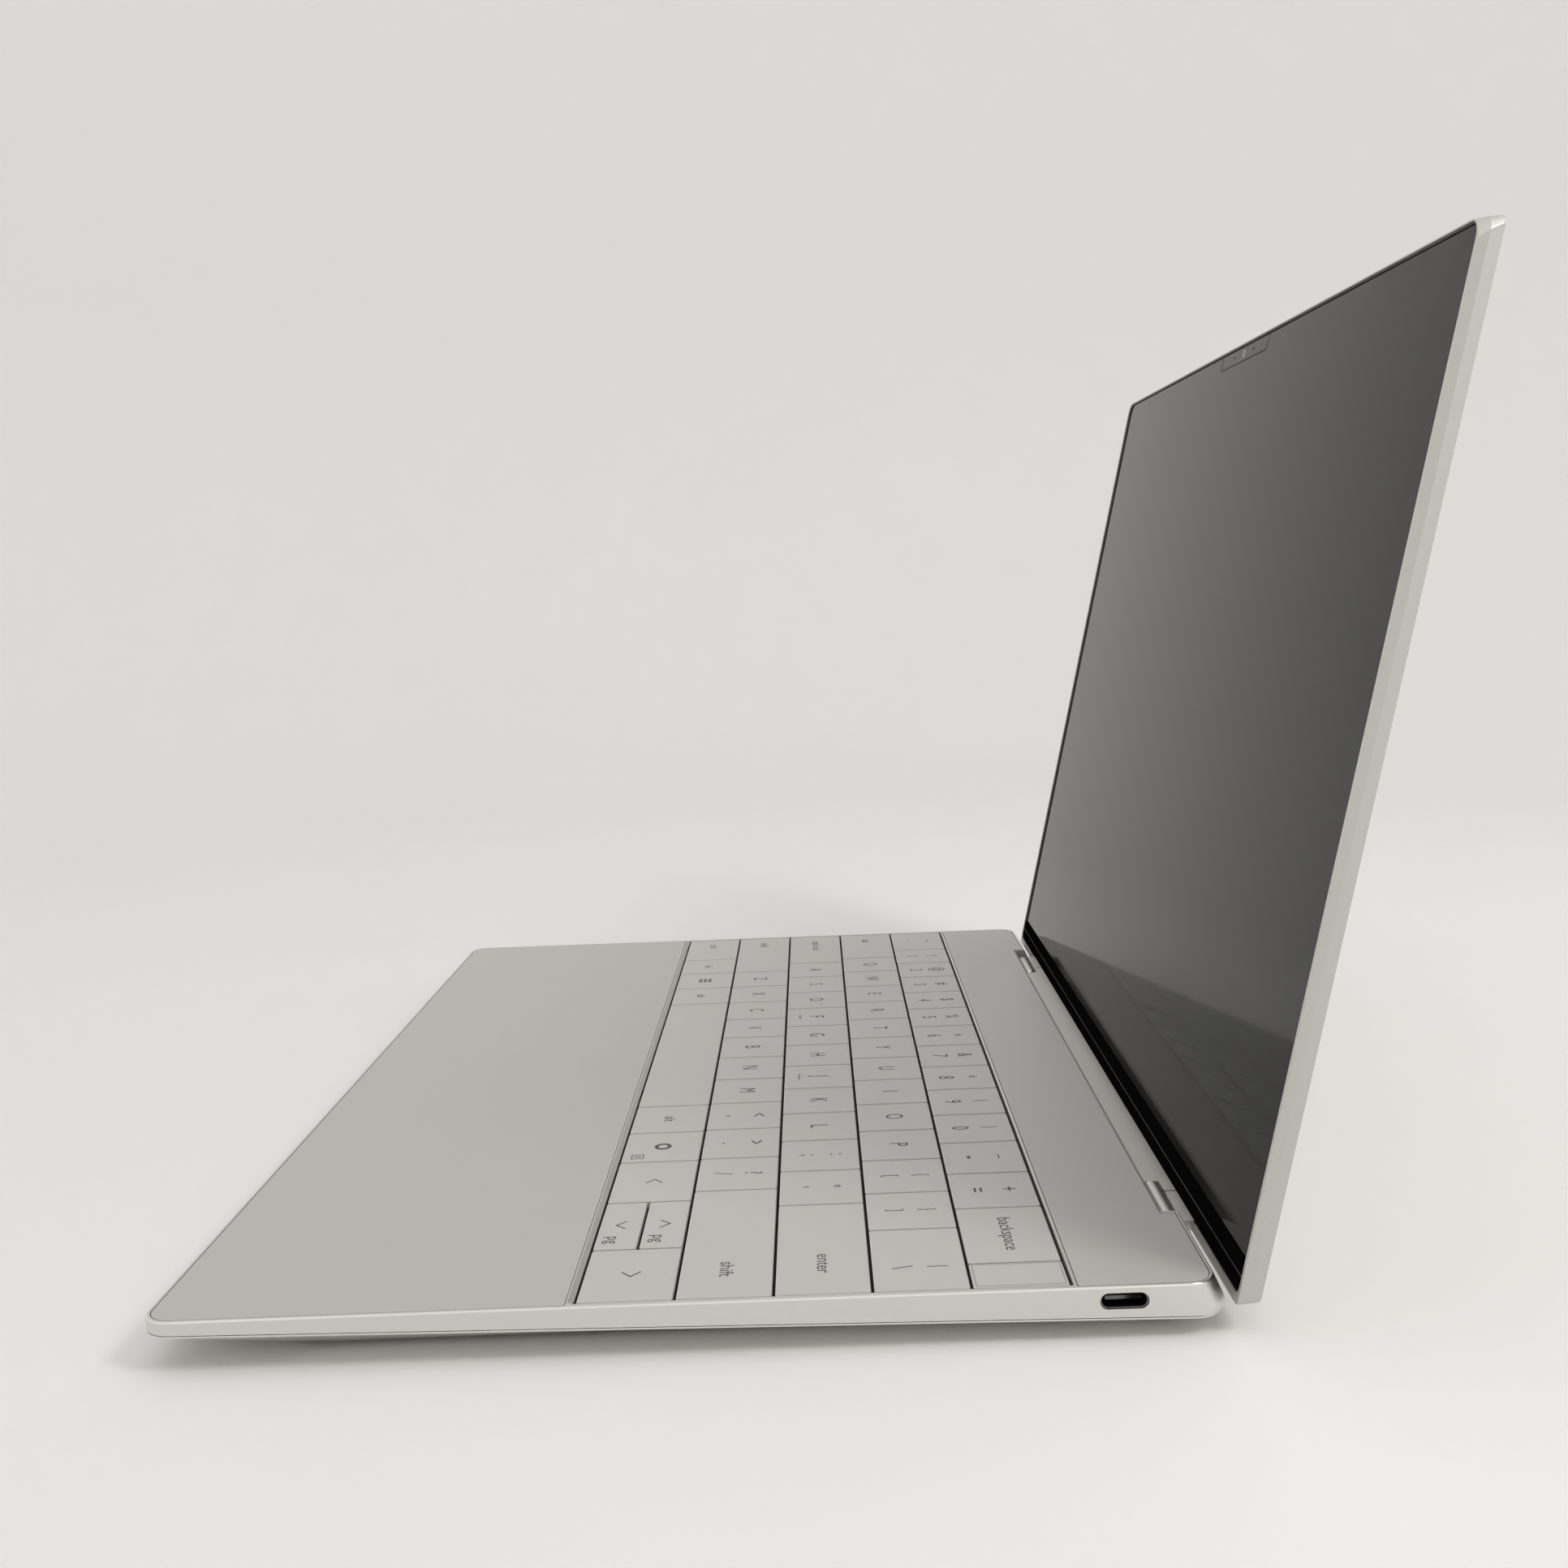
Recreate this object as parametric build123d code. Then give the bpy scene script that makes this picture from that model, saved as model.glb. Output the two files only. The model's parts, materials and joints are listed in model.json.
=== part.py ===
from build123d import *
import os
from math import atan, cos, degrees, radians, sin, sqrt

# A thin 13-inch laptop computer with its lid open.
#
# Millimetres.  Everything is drawn in one drawing frame: X to the user's right from the middle of the
# machine, Y rearwards from the front edge of the base, Z up from the top face of the deck, lid closed.
# At the end the lid is swung open about the hinge and the whole is moved so that the origin is at the
# middle of the underside of its bounding box.

# ---------------------------------------------------------------- driving dimensions
# Keyboard
key_unit = 19.1            # width of a letter key's cell
row_pitch = 18.2           # depth of a key row's cell
key_gap = 0.64             # gap between neighbouring caps
row_units = 15.3           # width of each whole row, in key units
keyboard_end_gap = 0.15    # extra room between the end cells and the bay's side walls
key_travel = 1.0
key_cap_height = 1.4
key_cap_skin = 0.7         # thickness of a cap's top
key_cap_wall = 0.8
key_edge_chamfer = 0.15
key_corner_radius = 0.4
key_stem_width = 3.6
key_stem_depth = 2.4
stem_clearance = 0.1       # around a stem in its window
wide_key_stem_inset = 8.0  # outer stems of a wide key, from its ends
wide_key_width = 30.0      # caps wider than this have outer stems
stop_clearance = 0.1       # left under a fully pressed cap
power_key_units = 0.56      # cell widths of the other keys, in key units
backspace_units = 1.382
backslash_units = 1.456
enter_units = 2.209
right_shift_units = 2.712
right_arrow_units = 1.209
up_down_units = 1.246
left_arrow_units = 1.225
space_units = 5.037

# Base, seen from above
side_rim = 1.4             # side wall, from the bay's wall to the outer face
rim_width = 0.85           # bright rim around the deck glass
seam = 0.2                 # visible seam around the deck glass
palm_rest_depth = 76.45    # palm rest glass, front to rear
front_crossbar = 1.25      # bar between palm rest glass and keyboard
rear_crossbar = 0.6        # bar between keyboard and function bar
function_bar_depth = 21.75 # front to rear, between the hinges
recess_rim = 0.4           # bar behind the function bar, between the hinges
recess_depth = 3.35        # the hinge recess, in front of the rear edge of the deck
recess_side_inset = 33.45  # end of the recess, from the base's side
base_corner_radius = 5.5
rim_chamfer = 0.3

# Base, seen from the side
deck_glass = 0.7           # thickness of the palm rest and function bar
glass_bond = 0.1           # adhesive under the glass
deck_web = 0.9             # aluminium under the glass
base_height = 9.5          # deck top to the underside of the bottom cover
seam_drop_front = 2.45     # deck top to the side seam at the front edge
seam_drop_rear = 6.2       # deck top to the side seam at the rear edge
seam_gap = 0.12
rear_bulge = 2.1           # how far the rear wall leans out
rear_bulge_drop = 5.0      # where it leans out furthest, below the deck top
rear_round_drop = 1.8      # the rear wall curls back under over this height
rear_round_in = 0.9
cover_lip = 0.35
cover_side_taper = 10.0
cover_front_taper = 24.0
cover_rear_taper = 3.5
cover_floor = 0.9
cover_wall_front = 3.0     # width of the cover's top edge at the front
cover_corner_radius = 8.0
foot_height = 0.8
foot_depth = 6.0
foot_end_radius = 2.9

# Keyboard carrier
keyboard_plate_thickness = 0.4
keyboard_ledge = 3.0       # width of the bars that the plate sits against
tray_thickness = 0.25
tray_rail = 2.0            # width of the rails along the tray's edges
tray_rail_gap = 0.02       # at the rails' seats and ends
tray_clearance = 0.2       # between a pressed stem and the tray

# Lid
lid_gap = 0.4              # between deck and closed lid
lid_thickness = 4.45
lid_overhang = 0.6         # closed lid, in front of the base's front edge
lid_lip = 1.1              # further reach of the lid's back at the front, to open it by
lid_rear_setback = 1.1     # closed lid, before the deck's rear edge
lid_band = 1.9             # height of the lid's straight side
lid_bevel_in = 0.6
lid_rear_taper = 0.95      # the lid's rear edge leans in by this much
lid_back_edge = 0.25       # chamfer around the lid's back
lid_corner_radius = 4.6    # front corners at the lid's inner face
lid_back_corner_radius = 2.2
lid_rear_corner_radius = 1.0
lid_side_rim = 1.0         # metal beside the display
lid_front_rim = 0.3
lid_rear_rim = 1.5
pocket_rear_radius = 2.0
lid_back = 0.8             # thickness of the lid's back
glass_ledge = 1.4
display_glass_thickness = 0.6
glass_recess = 0.6         # display glass, below the lid's rim
gasket_recess = 0.25
chin_recess = 0.25
gasket_width = 0.35
chin_height = 6.35
chin_thickness = 0.95
panel_thickness = 2.0
panel_bond = 0.1
panel_margin = 0.6
lid_rest_angle = 102.6
camera_window_width = 44.6
camera_window_height = 4.0
camera_window_slant = 1.4
camera_module_width = 36.0
camera_module_height = 3.4
camera_module_thickness = 1.6
camera_lens_radius = 1.3
display_board_width = 120.0
display_board_height = 2.8
display_board_thickness = 1.2

# Hinge
hinge_drop = 3.7           # hinge axis, below the deck top
hinge_barrel_radius = 2.0
hinge_pin_radius = 0.9
hinge_pin_clearance = 0.05
pin_seat_clearance = 0.02
hinge_barrel_length = 17.9
barrel_end_gap = 4.0       # outer end of a base barrel, from the end of the recess
barrel_end_round = 1.8
bracket_thickness = 1.0
bracket_reach = 20.0       # bracket plate, forwards from the hinge axis
spine_rise = 1.25          # level top face of the spine over the hinge axis, with the lid at its rest angle
spine_reach = 1.6          # how far the spine's bar goes past the hinge axis
spine_barrel_gap = 0.25    # between the full bar and the inner end of a base barrel
spine_slot_inset = 5.1     # the split of the spine, from the inner end of a base barrel
spine_slot = 0.6
spine_end_clearance = 0.5  # between the spine and the recess's side walls
spine_barrel_clearance = 0.3
pin_grip = 6.5             # length of a pin inside the spine

# Ports
port_width = 9.0
port_height = 3.1
port_from_rear = 17.5      # port's middle, before the deck's rear edge
port_drop = 2.7            # port's middle, below the deck top
port_clearance = 0.08
port_shell_wide = 0.25     # shell wall at the port's ends
port_shell_flat = 0.19     # shell wall at the port's flat sides
port_recess = 0.4
port_depth = 10.4
port_tongue_width = 6.7
port_tongue_thickness = 0.7
port_tongue_recess = 1.2
port_back = 0.6
port_pocket_margin = 0.5

# Inside
inner_gap = 0.3            # between an inner piece and what carries it
touchpad_width = 123.0
touchpad_depth = 65.0
touchpad_front = 6.5       # touchpad module, behind the base's front edge
touchpad_thickness = 1.5
touchpad_clearance = 0.3
actuator_radius = 9.0
actuator_height = 1.2
actuator_spacing = 76.0
battery_side_room = 41.65
battery_depth = 65.0
battery_front = 31.0
battery_thickness = 3.6
battery_cell_gap = 1.2
battery_cell_groove = 0.5
speaker_width = 25.0
speaker_depth = 42.0
speaker_gap = 4.0
board_gap = 4.0            # main board, behind the battery
board_side_room = 85.65    # room beside the main board for a fan and the speakers
board_depth = 70.0
board_thickness = 0.8
processor_width = 44.0
processor_depth = 24.0
processor_thickness = 1.2
memory_width = 10.0
memory_depth = 14.0
memory_thickness = 0.9
ssd_width = 22.0
ssd_depth = 30.0
ssd_thickness = 2.0
ssd_inset = 2.0            # from the main board's left and front edges
fan_width = 52.0
fan_depth = 54.0
fan_thickness = 3.7
fan_plate = 0.4
fan_wall = 1.0
fan_gap = 4.0              # fan, beside the main board
fan_inlet_radius = 15.0
fan_rotor_radius = 22.0
fan_hub_radius = 8.0
fan_rotor_thickness = 2.4
fan_post_radius = 1.6
fan_post_clearance = 0.05
fan_blades = 23
fan_blade_thickness = 0.5
fan_blade_rake = 28.0
fin_stack_depth = 14.0
fin_stack_gap = 2.0
fin_pitch = 2.6
fin_thickness = 0.4
fin_height = 3.0
heat_pipe_width = 7.0
heat_pipe_thickness = 1.4
heat_plate_thickness = 0.7

# Vents
exhaust_count = 26
exhaust_pitch = 5.6
exhaust_width = 3.4
exhaust_height = 2.2
intake_count = 15
intake_pitch = 3.2
intake_slot = 1.4
intake_length = 26.0
grille_count = 9
grille_pitch = 2.6
grille_slot = 1.0
grille_length = 9.0

# Screws
screw_head_radius = 1.8
screw_head_height = 0.5
screw_shaft_radius = 0.8
screw_length = 3.0
screw_clearance = 0.05
boss_radius = 2.3
front_screw_y = 28.0
front_screw_x = 70.0
front_outer_screw_inset = 22.65    # outer screws, from the base's side
rear_screw_from_recess = 4.2
rear_screw_x = 55.0
rear_outer_screw_inset = 19.65
bracket_screw_first = 9.2  # bracket screws, forwards from the hinge axis
bracket_screw_pitch = 7.0
bracket_boss_radius = 2.2

# ---------------------------------------------------------------- derived places
glass_seat = deck_glass + glass_bond
deck_depth = glass_seat + deck_web
row_width = row_units * key_unit
bay_half = row_width / 2 + keyboard_end_gap
base_half = bay_half + side_rim
recess_half_width = base_half - recess_side_inset
battery_width = 2 * (base_half - battery_side_room)
board_width = 2 * (base_half - board_side_room)
front_outer_screw_x = base_half - front_outer_screw_inset
rear_outer_screw_x = base_half - rear_outer_screw_inset
glass_inset = rim_width + seam / 2
palm_rear = glass_inset + palm_rest_depth
bay_front = palm_rear + seam + front_crossbar
keys_front = bay_front + key_gap / 2
keys_rear = keys_front + 5 * row_pitch
bay_rear = keys_rear + key_gap / 2
bar_front = bay_rear + rear_crossbar + seam
bar_rear = bar_front + function_bar_depth
recess_y = bar_rear + seam + recess_rim
deck_rear = recess_y + recess_depth
seam_slope = (seam_drop_rear - seam_drop_front) / deck_rear

plate_top = -(key_cap_height + key_travel + stop_clearance)
plate_bottom = plate_top - keyboard_plate_thickness
stem_tip = plate_bottom + stem_clearance
tray_top = stem_tip - key_travel - tray_clearance
tray_bottom = tray_top - tray_thickness
floor_top = cover_floor - base_height
inner_floor = floor_top + inner_gap
table = -(base_height + foot_height)

lid_front = -lid_overhang
lid_rear = deck_rear - lid_rear_setback
lid_face = lid_gap
lid_outer = lid_gap + lid_thickness
hinge_y = lid_rear
hinge_z = -hinge_drop
hinge_axis = Axis((0, hinge_y, hinge_z), (1, 0, 0))
barrel_inner = recess_half_width - barrel_end_gap - hinge_barrel_length
spine_half_width = barrel_inner - spine_barrel_gap
spine_slot_at = barrel_inner + spine_slot_inset
spine_end = recess_half_width - spine_end_clearance

fan_rear = recess_y - side_rim - fin_stack_gap - fin_stack_depth
fan_middle_y = fan_rear - fan_depth / 2
fan_middle_x = board_width / 2 + fan_gap + fan_width / 2
fin_middle_y = fan_rear + fin_stack_gap / 2 + fin_stack_depth / 2
board_front = battery_front + battery_depth + board_gap
board_top = tray_bottom - inner_gap
board_bottom = board_top - board_thickness
board_rear = board_front + board_depth
processor_y = board_rear - processor_depth
port_y = deck_rear - port_from_rear


# ---------------------------------------------------------------- helpers
def block(x0, x1, y0, y1, z0, z1):
    """A box between two corners."""
    middle = Pos((x0 + x1) / 2, (y0 + y1) / 2, (z0 + z1) / 2)
    return middle * Box(x1 - x0, y1 - y0, z1 - z0)


def plan(x0, x1, y0, y1, front_radius, rear_radius):
    """A flat rectangle with rounded front and rear corners."""
    outline = Pos((x0 + x1) / 2, (y0 + y1) / 2) * Rectangle(x1 - x0, y1 - y0)
    outline = fillet(outline.vertices().group_by(Axis.Y)[0], front_radius)
    return fillet(outline.vertices().group_by(Axis.Y)[-1], rear_radius)


def slab(x0, x1, y0, y1, z0, z1, radius):
    """A plate with rounded corners."""
    outline = Pos((x0 + x1) / 2, (y0 + y1) / 2) * RectangleRounded(x1 - x0, y1 - y0, radius)
    return Pos(0, 0, z0) * extrude(outline, amount=z1 - z0)


def side_profile(points, x0, x1):
    """A closed outline of (y, z) points, run along X from x0 to x1."""
    outline = make_face(Plane.YZ * Polyline(*points, close=True))
    return Pos(x0, 0, 0) * extrude(outline, amount=x1 - x0, dir=(1, 0, 0))


def rod(x0, x1, y, z, radius):
    """A round bar along X."""
    return Pos((x0 + x1) / 2, y, z) * Rot(0, 90, 0) * Cylinder(radius, x1 - x0)


def post(x, y, z0, z1, radius):
    """A round bar along Z."""
    return Pos(x, y, (z0 + z1) / 2) * Cylinder(radius, z1 - z0)


def both_sides(piece):
    """A piece on the right and its mirror image on the left."""
    return [piece, mirror(piece, Plane.YZ)]


def seam_z(y):
    """Height of the side seam at a distance from the front edge."""
    return -(seam_drop_front + seam_slope * y)


def seam_plane(drop):
    """The tilted plane of the side seam, lowered by drop."""
    tilt = Plane(origin=(0, 0, seam_z(0) - drop), x_dir=(1, 0, 0), z_dir=(0, seam_slope, 1))
    return tilt


# ---------------------------------------------------------------- base shells
def base_form():
    """The outer form of the base, from the deck top to below the side seam."""
    radius = base_corner_radius
    inset = rim_chamfer
    rows = [
        (0, inset, deck_rear - inset, radius - inset),
        (-rim_chamfer, 0, deck_rear, radius),
        (-rear_bulge_drop, 0, deck_rear + rear_bulge, radius),
        (-rear_bulge_drop - rear_round_drop, 0, deck_rear + rear_bulge - rear_round_in, radius),
    ]
    sections = []
    for z, edge, rear, corner in rows:
        outline = plan(edge - base_half, base_half - edge, edge, rear, corner, corner)
        sections.append(Pos(0, 0, z) * outline)
    return loft(sections, ruled=True)


def base_cavity(z0, z1):
    """The room inside the side walls, with a step for the hinge recess."""
    room = slab(-bay_half, bay_half, side_rim, deck_rear - side_rim, z0, z1,
                base_corner_radius - side_rim)
    step = recess_half_width + side_rim
    return room - block(-step, step, recess_y - side_rim, deck_rear + 1, z0 - 1, z1 + 1)


def function_bar_plan(clearance):
    """Outline of the function bar, grown by a clearance."""
    side = base_half - glass_inset + clearance
    step = recess_half_width + glass_inset - clearance
    rear = deck_rear - glass_inset + clearance
    front = bar_front - clearance
    corner = base_corner_radius - glass_inset + clearance
    outline = plan(-side, side, front, rear, key_corner_radius, corner)
    middle = bar_rear + clearance
    notch = Pos(0, (middle + deck_rear) / 2) * Rectangle(2 * step, deck_rear - middle)
    return outline - notch


def palm_rest_plan(clearance):
    """Outline of the palm rest glass, grown by a clearance."""
    side = base_half - glass_inset + clearance
    corner = base_corner_radius - glass_inset + clearance
    front = glass_inset - clearance
    return plan(-side, side, front, palm_rear + clearance, corner, key_corner_radius)


def port_slot(x0, x1, width, height):
    """A slot with round ends, run along X at the port's place."""
    outline = Plane.YZ * (Pos(port_y, -port_drop) * SlotOverall(width, height))
    return Pos(x0, 0, 0) * extrude(outline, amount=x1 - x0, dir=(1, 0, 0))


def screw_places():
    """Middles of the bottom screws, on both sides."""
    rear_y = recess_y - side_rim - rear_screw_from_recess + boss_radius
    right = [
        (front_screw_x, front_screw_y),
        (front_outer_screw_x, front_screw_y),
        (rear_screw_x, rear_y - boss_radius),
        (rear_outer_screw_x, rear_y - boss_radius),
    ]
    return right + [(-x, y) for x, y in right]


def bracket_screw_places():
    """Middles of the hinge bracket screws, on both sides."""
    middle = barrel_inner + hinge_barrel_length / 2
    first = hinge_y - bracket_screw_first
    places = [(middle, first), (middle, first - bracket_screw_pitch)]
    return places + [(-x, y) for x, y in places]


def make_base_frame():
    """The aluminium frame: rim, deck web, keyboard bay, hinge recess and bosses."""
    high = 1.0
    seam_cut = [(-high, high), (deck_rear + 2 * rear_bulge, high),
                (deck_rear + 2 * rear_bulge, seam_z(deck_rear + 2 * rear_bulge)), (-high, seam_z(-high))]
    frame = base_form() & side_profile(seam_cut, -base_half - high, base_half + high)
    frame -= base_cavity(-base_height, -deck_depth)
    frame -= block(-recess_half_width, recess_half_width, recess_y, deck_rear + 2 * rear_bulge,
                   -base_height, high)
    edge_cut = [(recess_y - rim_chamfer, 0), (recess_y - rim_chamfer, high), (recess_y + high, high),
                (recess_y + high, -rim_chamfer), (recess_y, -rim_chamfer)]
    frame -= side_profile(edge_cut, -recess_half_width, recess_half_width)
    frame -= Pos(0, 0, -glass_seat) * extrude(palm_rest_plan(seam), amount=glass_seat + high)
    frame -= Pos(0, 0, -glass_seat) * extrude(function_bar_plan(seam), amount=glass_seat + high)
    frame -= block(-bay_half, bay_half, bay_front, bay_rear, -base_height, high)
    for front, rear in ((bay_front - keyboard_ledge, bay_front), (bay_rear, bay_rear + keyboard_ledge)):
        frame += block(-bay_half, bay_half, front, rear, plate_top, -deck_depth)
    touchpad_half = touchpad_width / 2 + touchpad_clearance
    frame -= block(-touchpad_half, touchpad_half, touchpad_front - touchpad_clearance,
                   touchpad_front + touchpad_depth + touchpad_clearance, -base_height, -glass_seat)
    for x, y in screw_places():
        frame += post(x, y, floor_top, -deck_depth, boss_radius)
        frame -= post(x, y, floor_top, floor_top + screw_length, screw_shaft_radius + screw_clearance)
    bracket_top = hinge_z + bracket_thickness / 2
    for x, y in bracket_screw_places():
        frame += post(x, y, bracket_top, -deck_depth, bracket_boss_radius)
        frame -= post(x, y, bracket_top, -glass_seat, screw_shaft_radius + screw_clearance)
    for wall in both_sides(port_slot(bay_half - high, base_half + high, port_width, port_height)):
        frame -= wall
    pocket = port_width / 2 + port_pocket_margin
    for hollow in both_sides(block(base_half - port_recess - port_depth - port_pocket_margin, bay_half,
                                   port_y - pocket, port_y + pocket, -deck_depth - high, -glass_seat)):
        frame -= hollow
    window = block(barrel_inner - inner_gap, barrel_inner + hinge_barrel_length + inner_gap,
                   recess_y - 2 * side_rim, recess_y + high, hinge_z - bracket_thickness,
                   hinge_z + bracket_thickness)
    for opening in both_sides(window):
        frame -= opening
    for index in range(exhaust_count):
        x = (index - (exhaust_count - 1) / 2) * exhaust_pitch
        frame -= block(x - exhaust_width / 2, x + exhaust_width / 2, recess_y - 2 * side_rim,
                       recess_y + high, hinge_z - exhaust_height / 2, hinge_z + exhaust_height / 2)
    return frame


def make_bottom_cover():
    """The bottom cover: a shallow dish whose sides slope in to a flat floor."""
    rear = deck_rear + rear_bulge - rear_round_in
    floor_rear = rear - cover_rear_taper
    outer = [
        seam_plane(seam_gap) * plan(-base_half, base_half, 0, rear, base_corner_radius, base_corner_radius),
        seam_plane(seam_gap + cover_lip)
        * plan(-base_half, base_half, 0, rear, base_corner_radius, base_corner_radius),
        Pos(0, 0, -base_height)
        * plan(cover_side_taper - base_half, base_half - cover_side_taper, cover_front_taper, floor_rear,
               cover_corner_radius, cover_corner_radius),
    ]
    cover = loft(outer, ruled=True)
    half = base_half - side_rim
    corner = base_corner_radius - side_rim
    inner_rear = rear - side_rim
    inner = [
        seam_plane(-1) * plan(-half, half, cover_wall_front, inner_rear, corner, corner),
        seam_plane(seam_gap + cover_lip) * plan(-half, half, cover_wall_front, inner_rear, corner, corner),
        Pos(0, 0, floor_top)
        * plan(cover_side_taper + cover_floor - base_half, base_half - cover_side_taper - cover_floor,
               cover_front_taper + cover_floor, floor_rear - cover_floor,
               cover_corner_radius, cover_corner_radius),
    ]
    step = recess_half_width + side_rim
    behind_recess = block(-step, step, recess_y - side_rim, deck_rear + 2 * rear_bulge, -base_height, 1)
    cover -= loft(inner, ruled=True) - behind_recess
    cover -= block(-recess_half_width, recess_half_width, recess_y, deck_rear + 2 * rear_bulge, floor_top, 1)
    for x, y in screw_places():
        cover -= post(x, y, -base_height, -base_height + screw_head_height,
                      screw_head_radius + screw_clearance)
        cover -= post(x, y, -base_height, floor_top, screw_shaft_radius + screw_clearance)
    for side in (-1, 1):
        for index in range(intake_count):
            x = side * fan_middle_x + (index - (intake_count - 1) / 2) * intake_pitch
            cover -= block(x - intake_slot / 2, x + intake_slot / 2, fan_middle_y - intake_length / 2,
                           fan_middle_y + intake_length / 2, -base_height, floor_top)
        speaker_x = side * (battery_width / 2 + speaker_gap + speaker_width / 2)
        for index in range(grille_count):
            x = speaker_x + (index - (grille_count - 1) / 2) * grille_pitch
            y = battery_front + speaker_depth / 2
            cover -= block(x - grille_slot / 2, x + grille_slot / 2, y - grille_length / 2,
                           y + grille_length / 2, -base_height, floor_top)
    return cover


def make_palm_rest():
    """The palm rest glass."""
    return Pos(0, 0, -deck_glass) * extrude(palm_rest_plan(0), amount=deck_glass)


def make_function_bar():
    """The touch-sensitive function bar behind the keys."""
    return Pos(0, 0, -deck_glass) * extrude(function_bar_plan(0), amount=deck_glass)


def make_rubber_feet():
    """Two rubber strips under the base."""
    front = front_screw_y + boss_radius + foot_depth / 2 + 1
    rear = recess_y - side_rim - rear_screw_from_recess - boss_radius - foot_depth / 2 - 1
    half = front_outer_screw_x - 2 * cover_side_taper
    feet = []
    for y in (front, rear):
        feet.append(slab(-half, half, y - foot_depth / 2, y + foot_depth / 2, table, -base_height,
                         foot_end_radius))
    return Compound(feet)


# ---------------------------------------------------------------- keys
def cap(x0, x1, y0, y1):
    """One key cap with its stems, in the cell between x0, x1 and y0, y1."""
    left, right = x0 + key_gap / 2, x1 - key_gap / 2
    front, rear = y0 + key_gap / 2, y1 - key_gap / 2
    body = slab(left, right, front, rear, -key_cap_height, 0, key_corner_radius)
    body = chamfer(body.faces().sort_by(Axis.Z)[-1].edges(), key_edge_chamfer)
    body -= block(left + key_cap_wall, right - key_cap_wall, front + key_cap_wall, rear - key_cap_wall,
                  -key_cap_height, -key_cap_skin)
    for x, y in stem_places(x0, x1, y0, y1):
        body += block(x - key_stem_width / 2, x + key_stem_width / 2, y - key_stem_depth / 2,
                      y + key_stem_depth / 2, stem_tip, -key_cap_skin)
    return body


def stem_places(x0, x1, y0, y1):
    """Middles of a cap's stems: one, or three under a wide cap."""
    middle, y = (x0 + x1) / 2, (y0 + y1) / 2
    if x1 - x0 > wide_key_width:
        return [(middle, y), (x0 + wide_key_stem_inset, y), (x1 - wide_key_stem_inset, y)]
    return [(middle, y)]


def row_cells(row, before, after, middle):
    """Cells of a row counted from the front: the first takes what the given units leave over."""
    y0 = keys_front + row * row_pitch
    first = row_units - sum(before) - middle - sum(after)
    cells = []
    x = -row_width / 2
    for units in [first] + before + middle * [1] + after:
        cells.append((x, x + units * key_unit, y0, y0 + row_pitch))
        x += units * key_unit
    return cells


def keyboard_cells():
    """Every node of keys and the cells that it holds."""
    number = row_cells(4, [], [backspace_units, power_key_units], 12)
    upper = row_cells(3, [], [backslash_units], 12)
    home = row_cells(2, [], [enter_units], 11)
    lower = row_cells(1, [], [right_shift_units], 10)
    arrows = [left_arrow_units, up_down_units, right_arrow_units]
    bottom = row_cells(0, [1, 1, 1, space_units], arrows, 2)
    x0, x1, y0, y1 = bottom[8]
    middle = (y0 + y1) / 2
    return {
        "key_backtick": number[:1], "keys_1_to_5": number[1:6], "keys_6_to_equals": number[6:13],
        "key_backspace": number[13:14], "key_power": number[14:],
        "key_tab": upper[:1], "keys_q_to_t": upper[1:6], "keys_y_to_bracket": upper[6:13],
        "key_backslash": upper[13:],
        "key_caps": home[:1], "keys_a_to_g": home[1:6], "keys_h_to_quote": home[6:12], "key_enter": home[12:],
        "key_shift_left": lower[:1], "keys_z_to_b": lower[1:6], "keys_n_to_slash": lower[6:11],
        "key_shift_right": lower[11:],
        "key_ctrl": bottom[:1], "key_fn": bottom[1:2], "key_home": bottom[2:3], "key_alt_left": bottom[3:4],
        "key_space": bottom[4:5], "key_alt_right": bottom[5:6], "key_menu": bottom[6:7],
        "key_arrow_left": bottom[7:8], "key_arrow_down": [(x0, x1, y0, middle)],
        "key_arrow_up": [(x0, x1, middle, y1)], "key_arrow_right": bottom[9:],
    }


def make_keys():
    """The key caps, one node for each special key and one for each half row of letter keys."""
    nodes = {}
    for name, cells in keyboard_cells().items():
        caps = [cap(*cell) for cell in cells]
        nodes[name] = caps[0] if len(caps) == 1 else Compound(caps)
    return nodes


def make_keyboard_plate():
    """The steel plate that guides the key stems."""
    plate = block(-bay_half + inner_gap, bay_half - inner_gap, bay_front - keyboard_ledge,
                  bay_rear + keyboard_ledge, plate_bottom, plate_top)
    half_width = key_stem_width / 2 + stem_clearance
    half_depth = key_stem_depth / 2 + stem_clearance
    for cells in keyboard_cells().values():
        for cell in cells:
            for x, y in stem_places(*cell):
                plate -= block(x - half_width, x + half_width, y - half_depth, y + half_depth,
                               plate_bottom, plate_top)
    return plate


def make_keyboard_tray():
    """The switch and backlight sheet under the plate, with a rail along each edge."""
    half = bay_half - inner_gap
    front, rear = bay_front - keyboard_ledge, bay_rear + keyboard_ledge
    seat = tray_top + tray_rail_gap
    sheet = block(-half, half, front, rear, tray_bottom, tray_top)
    front_rail = block(-half, half, front, front + tray_rail, seat, plate_bottom)
    rear_rail = block(-half, half, rear - tray_rail, rear, seat, plate_bottom)
    side_rail = block(half - tray_rail, half, front + tray_rail + tray_rail_gap,
                      rear - tray_rail - tray_rail_gap, seat, plate_bottom)
    return Compound([sheet, front_rail, rear_rail] + both_sides(side_rail))


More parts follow.
